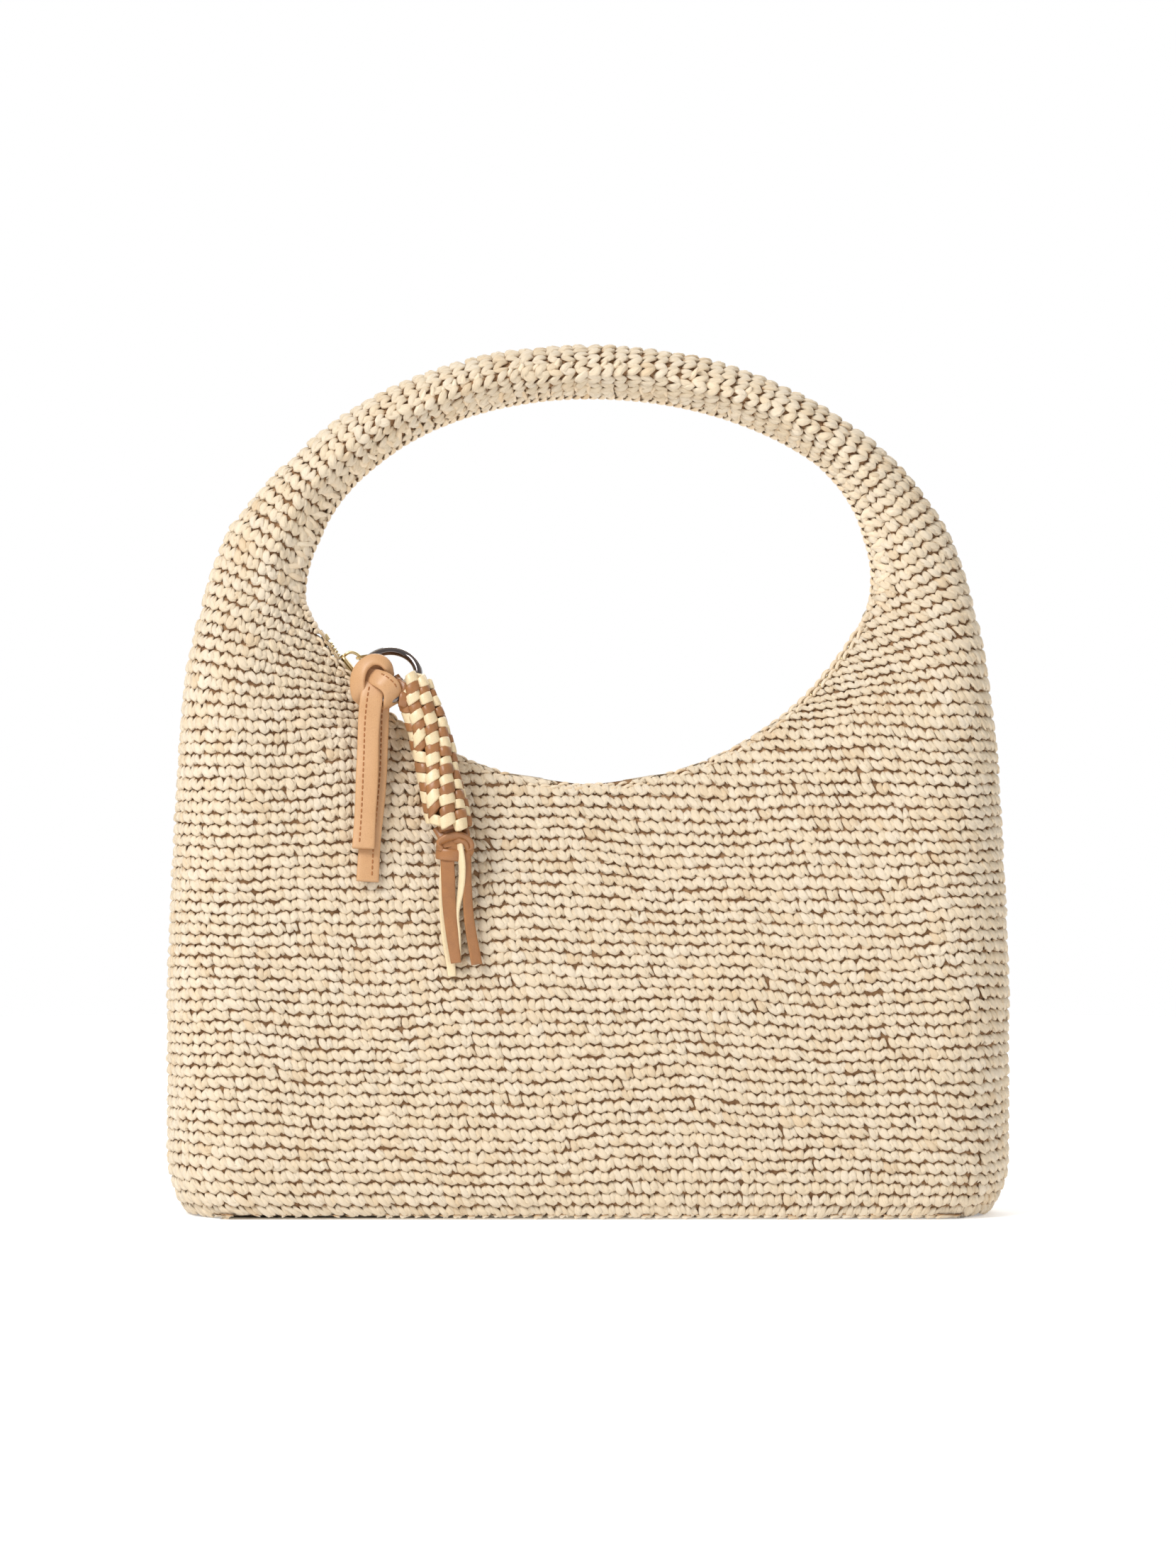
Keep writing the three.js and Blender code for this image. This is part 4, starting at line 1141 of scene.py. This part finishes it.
def make_slider():
    pile = Pile()
    outline = smooth_path(SLIDER_OUTLINE, 16)
    # the upper and the lower plate
    for sunk, wide, thick, reach in ((-0.6, 7.4, 1.7, 1.0), (5.4, 6.2, 0.9, 0.78)):
        path = by_slider(outline[:, 0] * reach, sunk)
        strap(pile, path, outline[:, 1] * wide * MM, thick * MM, ACROSS, sides=24, power=3.4)
    wedge = by_slider(np.linspace(-5.2, -1.2, 8), 2.6)
    strap(pile, wedge, np.linspace(0.5, 0.2, 8) * MM, 5.6 * MM, ACROSS, sides=12, power=4)
    for side in (-1, 1):
        for sunk, y, tall in ((1.4, 3.3, 2.6), (4.75, 2.75, 0.7)):
            rim = by_slider(np.linspace(-3.6, 4.2, 8), sunk, side * y)
            strap(pile, rim, 0.6 * MM, tall * MM, ACROSS, sides=10, power=4)
    finish_piece(pile, "slider_brass", [BRASS], "slider", "zip_metal", "slider_body")
    pile = Pile()
    t = np.linspace(0, np.pi, 20)
    arch = by_slider(-5.4 * np.cos(t), -(1.2 + 4.8 * np.maximum(0, np.sin(t)) ** 0.6))
    strap(pile, arch, 2.0 * MM, 1.2 * MM, ACROSS, sides=14, power=3.5)
    finish_piece(pile, "slider_arch", [BRASS], "slider", "zip_metal", "slider_bridge")


# ---------------------------------------------------------------- pull loop and ring
HANG = np.array(joints["pull_lean"]["pos_m"])
BRIDGE = np.array(joints["pull_hang"]["pos_m"])
RING_WIRE = 1.65 * MM
RING_R = (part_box("o_ring")[1].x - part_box("o_ring")[0].x) / 2 - RING_WIRE
RING_LEAN = math.radians(32)
RING_RIGHT = np.array([1.0, 0, 0])
RING_UP = np.array([0, math.sin(RING_LEAN), math.cos(RING_LEAN)])
HANG_ANGLE = math.radians(122)  # where on the ring the wire loop holds it
HANG_ARM = math.cos(HANG_ANGLE) * RING_RIGHT + math.sin(HANG_ANGLE) * RING_UP
RING_CENTRE = HANG + np.array([0, 0, 0.6 * MM]) - RING_R * HANG_ARM
WIRE_ACROSS = (0.02, 1, 0.03)
LINK_WIRE = 0.6 * MM


def on_ring(angle):
    c, s = np.cos(angle)[..., None], np.sin(angle)[..., None]
    return RING_CENTRE + RING_R * (c * RING_RIGHT + s * RING_UP)


def make_ring():
    pile = Pile()
    circle = on_ring(np.linspace(0, 2 * np.pi, 120, endpoint=False))
    strap(pile, circle, 2 * RING_WIRE, 2 * RING_WIRE, WIRE_ACROSS, sides=28, power=2, closed=True)
    finish_piece(pile, "ring_polished", [NICKEL], "ring", "ring_metal", "o_ring")
    pile = Pile()
    reach = HANG - BRIDGE
    long = np.linalg.norm(reach) / 2 + 1.2 * MM
    along = unit(reach)
    side = unit(np.cross(along, [0, 0.25, 1]))
    c, s = squared(np.linspace(0, 2 * np.pi, 64, endpoint=False), 2.6)
    loop = (HANG + BRIDGE) / 2 + along * (long * c)[:, None] + side * (3.0 * MM * s)[:, None]
    strap(pile, loop, 2 * LINK_WIRE, 2 * LINK_WIRE, WIRE_ACROSS, sides=12, power=2, closed=True)
    finish_piece(pile, "pull_link_wire", [BRASS], "pull", "zip_metal", "pull_loop")


# ---------------------------------------------------------------- leather knot and its tails; points are in mm
STRAP_WIDE = 8.6 * MM
STRAP_THICK = 2.5 * MM
STRAP_BEND_HIGH = 201.5 * MM
STRAP_BEND_LOW = 194.5 * MM
KNOT_THICK = 2.3 * MM
KNOT_MIDDLE = np.array([-82.8, -19, 207.8]) * MM
# the outer turn: up the left side, over the top, down to the right
OUTER_TURN = [(-86.0, -17.0, 199.6), (-88.7, -20.0, 202.8), (-89.7, -21.4, 206.8), (-89.3, -21.8, 211.0),
              (-87.4, -21.6, 214.6), (-84.0, -21.2, 216.9), (-80.4, -21.2, 216.6), (-77.9, -21.0, 214.2),
              (-77.2, -18.6, 210.6)]
# the crossing turn: out from under the outer one, down to the right and round behind
CROSSING_TURN = [(-87.6, -17.2, 211.8), (-85.2, -19.4, 211.0), (-82.2, -23.0, 210.0), (-79.2, -25.4, 208.6),
                 (-76.6, -25.8, 206.2), (-75.8, -24.2, 203.0), (-76.6, -21.8, 200.2), (-79.0, -18.4, 198.6)]
# the turns behind that fill the knot: tone, width, across, points along, route
HIDDEN_TURNS = (
    (0.3, 7.2, (1, 0, 0.4), 28, [(-86.4, -14.0, 213.6), (-88.0, -13.4, 209.0), (-86.0, -14.4, 203.4),
                                 (-82.0, -16.0, 200.2)]),
    (0.3, 7.2, (1, 0, -0.1), 28, [(-80.8, -13.6, 214.6), (-79.2, -13.2, 209.0), (-80.4, -14.6, 203.6),
                                  (-82.4, -18.0, 200.4)]),
    (0.2, 5.0, (0.2, 0.3, 1), 24, [(-86.6, -17.0, 212.8), (-83.2, -17.6, 214.6), (-79.6, -17.6, 213.4),
                                   (-77.6, -17.4, 209.6)]),
    (0.1, 7.4, (1, 0, 0), 20, [(-84.4, -17.4, 212.4), (-84.0, -20.4, 208.4), (-83.4, -21.4, 203.0)]),
)
# label, across, the stitched line's offset, where the waviness starts, route
TAILS = (
    ("front", (1, -0.05, 0.02), -0.34, 0, [
        (-83.0, -21.4, 208.0), (-83.6, -22.8, 205.0), (-84.2, -23.8, 201.5), (-84.9, -24.2, 195.6),
        (-85.3, -25.2, 188.0), (-85.5, -27.0, 178.0), (-86.0, -30.6, 163.0), (-87.0, -34.6, 143.8)]),
    ("rear", (1, 0.12, 0.03), 0.34, 2, [
        (-81.4, -19.6, 203.0), (-81.8, -19.9, 196.4), (-82.0, -21.4, 186.0), (-82.3, -23.8, 174.0),
        (-83.4, -28.0, 160.0), (-84.6, -31.0, 146.0), (-85.4, -33.4, 131.0)]),
)


def make_knot():
    pile = Pile()
    path = route(OUTER_TURN, 64)
    # its inner edge is rolled forward
    inward = unit(unit(KNOT_MIDDLE - path) * (1, 0, 1))
    across = inward * 0.74 + np.array([0, -0.62, 0])
    t = np.linspace(0, 1, 64)
    wide = np.interp(t, [0, 0.15, 0.4, 0.62, 0.85, 1], [5.0, 7.2, 7.2, 5.4, 4.6, 4.2]) * MM
    strap(pile, path, wide, KNOT_THICK, across, 0.6, sides=28, power=2.8)
    running_stitches(pile, path, across, wide, KNOT_THICK, -0.3, 0.40, 0.54)
    path = route(CROSSING_TURN, 56)
    t = np.linspace(0, 1, 56)
    across = np.array([0.45, 0.1, 0.88]) * (1 - t[:, None]) + np.array([0.95, 0.15, 0.35]) * t[:, None]
    wide = np.interp(t, [0, 0.2, 0.4, 0.8, 1], [4.5, 6.4, 7.4, 7.6, 6.0]) * MM
    strap(pile, path, wide, KNOT_THICK, across, 0.5, sides=28, power=2.8)
    running_stitches(pile, path, -across, wide, -KNOT_THICK, -0.5, 0.32, 0.66)
    for tone, width, across, count, points in HIDDEN_TURNS:
        strap(pile, route(points, count), width * MM, 2.4 * MM, across, tone, sides=22, power=2.8)
    finish_piece(pile, "leather_knot", [TAN, TAN_THREAD], "ring", "leather_tan", "strap_knot")


def make_tails():
    x, y, _ = joints["strap_swing"]["pos_m"]
    bend = ("ring", "strap", (x, y, STRAP_BEND_HIGH), (x, y, STRAP_BEND_LOW))
    t = np.linspace(0, 1, 90)
    wide = STRAP_WIDE * (1 + 0.02 * np.sin(14 * t) + 0.05 * np.exp(-12 * t))
    for label, across, offset, start, points in TAILS:
        pile = Pile()
        path = route(points, 90)
        path[:, 1] += 0.25 * MM * np.sin(9 * t + start)
        strap(pile, path, wide, STRAP_THICK, across, 0.55, sides=30, power=3.4)
        running_stitches(pile, path, across, wide, STRAP_THICK, offset, 0.04, 0.99)
        finish_piece(pile, f"leather_tail_{label}", [TAN, TAN_THREAD], "strap", "leather_tan",
                     f"strap_tail_{label}", bend=bend)


# ---------------------------------------------------------------- braided charm; points are in mm
BRAID_PITCH = 4.3 * MM
BRAID_COLUMNS = 8
BRAID_WALK = 1.78  # how far round the columns walk along the whole braid, in radians
BRAID_AXIS = [(-69.0, -17.8, 210.2), (-66.2, -19.2, 201.0), (-62.4, -21.4, 191.3), (-58.6, -25.2, 175.0),
              (-55.9, -29.2, 163.5), (-53.0, -32.9, 150.4)]
BRAID_SHARES = (0, 0.08, 0.3, 0.8, 0.96, 1.05)
BRAID_RADII = (4.4, 5.8, 6.2, 6.8, 6.9, 6.0)
CELL_WIDE = (4.35, 4.05)  # cream, brown
# the laces that hang the braid on the ring: angle on the ring, material, width, height
HANGING_LACES = ((-46, 0, 5.2, 4.3), (-30, 1, 3.4, 3.9), (-12, 0, 4.4, 3.4), (-60, 1, 3.6, 3.4))


def make_braid():
    """Eight columns of folded laces round the axis, two laces in turn, walking slowly round it."""
    axis = route(BRAID_AXIS, 200)
    length = run_along(axis)
    total = length[-1]
    tangent = unit(np.gradient(axis, axis=0))
    right = unit(np.cross(tangent, [0, 1, 0]))
    out = np.cross(tangent, right)

    def place(angle, run, lift):
        """On the braid: angle 0 faces the front and turns to the right."""
        at = np.clip(run, 0, total)
        middle = sampled(at, length, axis) + sampled(at, length, tangent) * (run - at)[..., None]
        side, face = unit(sampled(at, length, right)), unit(sampled(at, length, out))
        radius = np.interp(at / total, BRAID_SHARES, BRAID_RADII) * MM + lift
        spoke = side * np.sin(angle)[..., None] + face * np.cos(angle)[..., None]
        return middle + spoke * radius[..., None]

    pile = Pile()
    step = 2 * np.pi / BRAID_COLUMNS
    t = np.linspace(-1, 1, 9)
    for row in range(int(total / BRAID_PITCH) + 1):
        kind = row % 2
        for column in range(BRAID_COLUMNS):
            row_run = row * BRAID_PITCH + 0.9 * MM
            turn = (step * (column + 0.15) - BRAID_WALK * row_run / total + np.pi) % (2 * np.pi) - np.pi
            # rows step down to the right, in a spiral that closes after eight columns
            middle_run = row_run + turn / (2 * np.pi) * 4 * BRAID_PITCH
            if middle_run < 0.3 * MM or middle_run > total - 0.2 * MM:
                continue
            angle = turn + t * step / 2
            # cells left of the middle rise to the right, the leftmost fall, the right ones lie level
            steep = 1.3 - 0.8 * np.clip(turn, -1.2, 1.2) if turn > -0.75 else -1.8
            steep += rng.normal(0, 0.35)
            run = middle_run - steep * MM * t + rng.normal(0, 0.15) * MM
            lift = (1 - np.abs(t) ** 5) * 2.0 * MM - 1.25 * MM + rng.normal(0, 0.2) * MM - 0.7 * MM * t
            path = place(angle, run, lift)
            wide = np.interp(np.abs(t), [0, 0.8, 1], [1, 0.97, 0.8]) * CELL_WIDE[kind]
            wide = wide * MM * rng.normal(1, 0.04)
            down = place(angle, run + 0.5 * MM, lift) - path
            strap(pile, path, wide, 2.2 * MM, down, float(rng.uniform(0.3, 0.9)), kind, 12, 5.5)
    strap(pile, resampled(axis[12:], 30), 9.6 * MM, 9.6 * MM, ACROSS, 0.5, 1, sides=16, power=2)
    finish_piece(pile, "braid_laces", [CREAM, BROWN], "charm", "lace_cream", "braid_charm")
    pile = Pile()
    t = np.linspace(-0.3 * np.pi, 1.3 * np.pi, 24)
    for angle, kind, wide, tall in HANGING_LACES:
        loop = np.stack([0.5 * np.sin(t), -3.0 * np.cos(t), np.sin(t) * tall - 1.4], -1) * MM
        loop = on_ring(math.radians(angle)) + loop
        strap(pile, loop, wide * MM, 1.3 * MM, (1, 0, -0.25), 0.5, kind, sides=14, power=3)
    finish_piece(pile, "charm_hanging_laces", [CREAM, BROWN], "charm", "lace_brown", "charm_loop")


BAND_CENTRE = np.array([-53.6, -33.0, 141.4]) * MM
# the brown lace over the band: tone, width, thickness, across, points along, power, route
BINDING = (
    # the loop over the top, curling down on the right
    (0.6, 3.6, 1.9, (0.1, -0.6, 0.8), 44, 2.8, [
        (-57.2, -35.2, 143.2), (-57.4, -36.0, 146.0), (-54.2, -36.5, 148.2), (-50.2, -36.7, 148.9),
        (-46.8, -36.2, 147.4), (-45.3, -35.4, 144.4), (-46.6, -33.8, 141.0)]),
    (0.4, 2.2, 1.8, (0.3, -0.5, 0.8), 30, 2.8, [
        (-51.6, -35.2, 146.4), (-49.6, -36.6, 147.0), (-47.4, -36.3, 146.0), (-46.4, -35.4, 143.2)]),
    # the bundle between braid and band
    (0.3, 5.6, 2.4, (1, 0, 0.3), 30, 2.8, [
        (-57.6, -31.6, 152.0), (-55.6, -34.0, 148.6), (-54.6, -35.0, 144.0)]),
    (0.5, 6.0, 3.0, (1, 0, 0), 30, 2.8, [
        (-52.6, -32.6, 152.6), (-51.6, -34.2, 148.0), (-52.2, -34.6, 143.0)]),
    (0.3, 7.0, 5.6, (1, 0, 0), 20, 2.4, [
        (-53.4, -32.2, 152.0), (-53.0, -32.8, 146.6), (-53.2, -33.0, 140.0)]),
)
# label, material, slot, across, widths from top to tip, route
TASSEL_LACES = (
    ("tan_left", BROWN, "lace_brown", (1, -0.25, 0.06), (5.6, 5.6, 5.4, 5.0, 4.2), [
        (-54.6, -35.2, 142.0), (-54.2, -36.0, 134.0), (-53.7, -37.0, 122.0), (-52.4, -37.8, 110.0),
        (-51.0, -38.0, 99.6)]),
    ("cream_middle", CREAM, "lace_cream", (0.75, -0.65, 0), (3.4, 3.2, 3.0, 2.6, 2.2, 1.8), [
        (-49.9, -35.6, 146.0), (-48.7, -36.6, 137.0), (-49.2, -36.6, 128.0), (-50.9, -37.0, 119.0),
        (-50.2, -37.6, 110.0), (-50.0, -37.8, 100.4)]),
    ("tan_right", BROWN, "lace_brown", (0.9, 0.42, 0.2), (3.6, 3.8, 4.0, 4.4, 4.6), [
        (-46.9, -34.4, 143.4), (-46.9, -35.6, 136.0), (-46.7, -36.4, 127.0), (-45.8, -37.2, 115.0),
        (-43.0, -38.0, 99.0)]),
    ("cream_rear", CREAM, "lace_cream", (1, 0.1, 0.1), (4.6, 4.8, 4.8, 3.0), [
        (-54.6, -32.8, 142.0), (-55.3, -33.4, 130.0), (-54.9, -34.4, 116.0), (-52.6, -35.6, 94.2)]),
)


def make_tassel():
    pile = Pile()
    t = np.linspace(0, 2 * np.pi, 40, endpoint=False)
    band = BAND_CENTRE + np.stack([4.5 * np.cos(t), 3.6 * np.sin(t), -0.5 * np.cos(t)], -1) * MM
    strap(pile, band, 4.6 * MM, 2.0 * MM, (0.1, 0, 1), sides=16, power=3, closed=True)
    for tone, wide, thick, across, count, power, points in BINDING:
        strap(pile, route(points, count), wide * MM, thick * MM, across, tone, sides=16, power=power)
    finish_piece(pile, "tassel_binding", [BROWN], "tassel", "lace_brown", "tassel_knot")
    for label, material, slot, across, widths, points in TASSEL_LACES:
        pile = Pile()
        wide = np.interp(np.linspace(0, 1, 60), np.linspace(0, 1, len(widths)), widths) * MM
        strap(pile, route(points, 60), wide, 1.5 * MM, across, sides=18, power=3)
        finish_piece(pile, f"lace_{label}", [material], "tassel", slot, f"tassel_lace_{label}")


# ---------------------------------------------------------------- inside: lining, board, core
LINING_INSET = 4.0 * MM
LINING_GAP = 5.4 * MM  # the lining stays this far from the opening
LINING_LOW = 6.2 * MM
LINING_THICK = 0.7 * MM


def add_sheet(pile, grid, thickness):
    """A cloth over a grid; gives its area."""
    right = grid[:-1, 1:] - grid[:-1, :-1]
    up = grid[1:, :-1] - grid[:-1, :-1]
    normals = unit(np.cross(unit(np.gradient(grid, axis=1)), unit(np.gradient(grid, axis=0))))
    pile.add_skin(grid, normals, thickness / 2, -thickness / 2, grain=(0, 2), grain_size=10 * MM)
    return float(np.linalg.norm(np.cross(up, right), axis=-1).sum())


def lining_row(row, count):
    """A row just inside the shell, from the fold to the opening, with y positive."""
    even = resampled(row_line(row, LINING_INSET)[0], count)
    even[:, 1] = np.maximum(even[:, 1], 0.6 * MM)
    return even


def make_lining():
    heights = np.linspace(LINING_LOW, MOUTH_Z - MOUTH_R - LINING_GAP, 44)
    body_rows = [level_row(z, LINING_GAP) for z in heights]
    horns = horn_rows(LINING_GAP)
    for label, side in (("front", -1), ("back", 1)):
        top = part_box(f"lining_{label}")[1].z
        pile = Pile()
        grid = []
        for row in body_rows:
            right = lining_row(row, 41) * (1, side, 1)
            grid.append(np.concatenate([right * (-1, 1, 1), right[::-1][1:]]))
        area = add_sheet(pile, np.array(grid), LINING_THICK)
        rows = [row for row in horns if max(row[0][1], (row[0] + row[1] * row[2])[1]) < top]
        for mirror in (1, -1):
            grid = np.array([lining_row(row, 21) * (mirror, side, 1) for row in rows])
            area += add_sheet(pile, grid, LINING_THICK)
        thing = finish_piece(pile, f"cotton_lining_{label}", [COTTON], "bag", "lining_cotton",
                             f"lining_{label}")


def make_pocket():
    """The slip pocket on the back lining."""
    low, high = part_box("lining_pocket")
    x = np.linspace(low.x, high.x, 41)
    grid = []
    for z in np.linspace(low.z, high.z, 30):
        line = row_line(level_row(z, LINING_GAP), LINING_INSET)[0][::-1]
        y = np.interp(np.abs(x), line[:, 0], line[:, 1]) - 1.6 * MM
        grid.append(np.stack([x, y, np.full(41, z)], -1))
    pile = Pile()
    area = add_sheet(pile, np.array(grid), LINING_THICK)
    hem = grid[-1] - np.array([0, 0, 0.8 * MM])
    strap(pile, hem, 2.0 * MM, 1.2 * MM, (0, 0, 1), sides=10, power=3)
    thing = finish_piece(pile, "cotton_pocket", [COTTON], "bag", "lining_cotton", "lining_pocket")


def make_lining_floor():
    low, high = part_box("lining_base")
    xs = np.linspace(low.x, high.x, 61)
    grid = []
    for share in np.linspace(-1, 1, 21):
        z = (low.z + high.z) / 2 + 0.12 * MM * np.sin(xs * 90 + share * 5)
        y = np.full(61, share * high.y * 0.99)
        grid.append(np.stack([xs * (1 - rounded_end(share, 0.09)), y, z], -1))
    pile = Pile()
    area = add_sheet(pile, np.array(grid), 0.5 * MM)
    thing = finish_piece(pile, "cotton_floor", [COTTON], "bag", "lining_cotton", "lining_base")


def make_core():
    """A three-strand filler rope that keeps the handle round."""
    rows = [row for row in horn_rows() if row[0][1] > SHOULDER_Z]
    middles = np.array([start + inward * length / 2 for start, inward, length in rows])
    right = np.stack([middles[:, 0], np.zeros(len(middles)), middles[:, 1]], -1)
    line = resampled(np.concatenate([right, right[-2::-1] * (-1, 1, 1)]), 400)
    line = line[line[:, 2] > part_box("handle_core")[0].z + 3 * MM]
    side = unit(np.cross(unit(np.gradient(line, axis=0)), [0, 1, 0]))
    run = np.arange(len(line)) * np.linalg.norm(line[1] - line[0])
    pile = Pile()
    for k in range(3):
        turn = run / (24 * MM) * 2 * np.pi + k * 2 * np.pi / 3
        swing = side * np.cos(turn)[:, None] * 2.2 + np.array([0, 1, 0]) * np.sin(turn)[:, None] * 2.4
        strap(pile, line + swing * MM, 4.3 * MM, 4.3 * MM, side, sides=12, power=2)
    thing = finish_piece(pile, "core_rope", [ROPE], "handle", "filler_rope", "handle_core")


def finish_board():
    """The base board stays as its CAD node and gets its material."""
    board = frame["nodes"]["base_board"].data
    board.materials.clear()
    board.materials.append(CARD)


make_camera()
make_lights()
make_floor()
make_body()
make_horns()
make_lip()
make_handle_seam()
make_base()
make_zip()
make_slider()
make_ring()
make_knot()
make_tails()
make_braid()
make_tassel()
make_lining()
make_pocket()
make_lining_floor()
make_core()
finish_board()
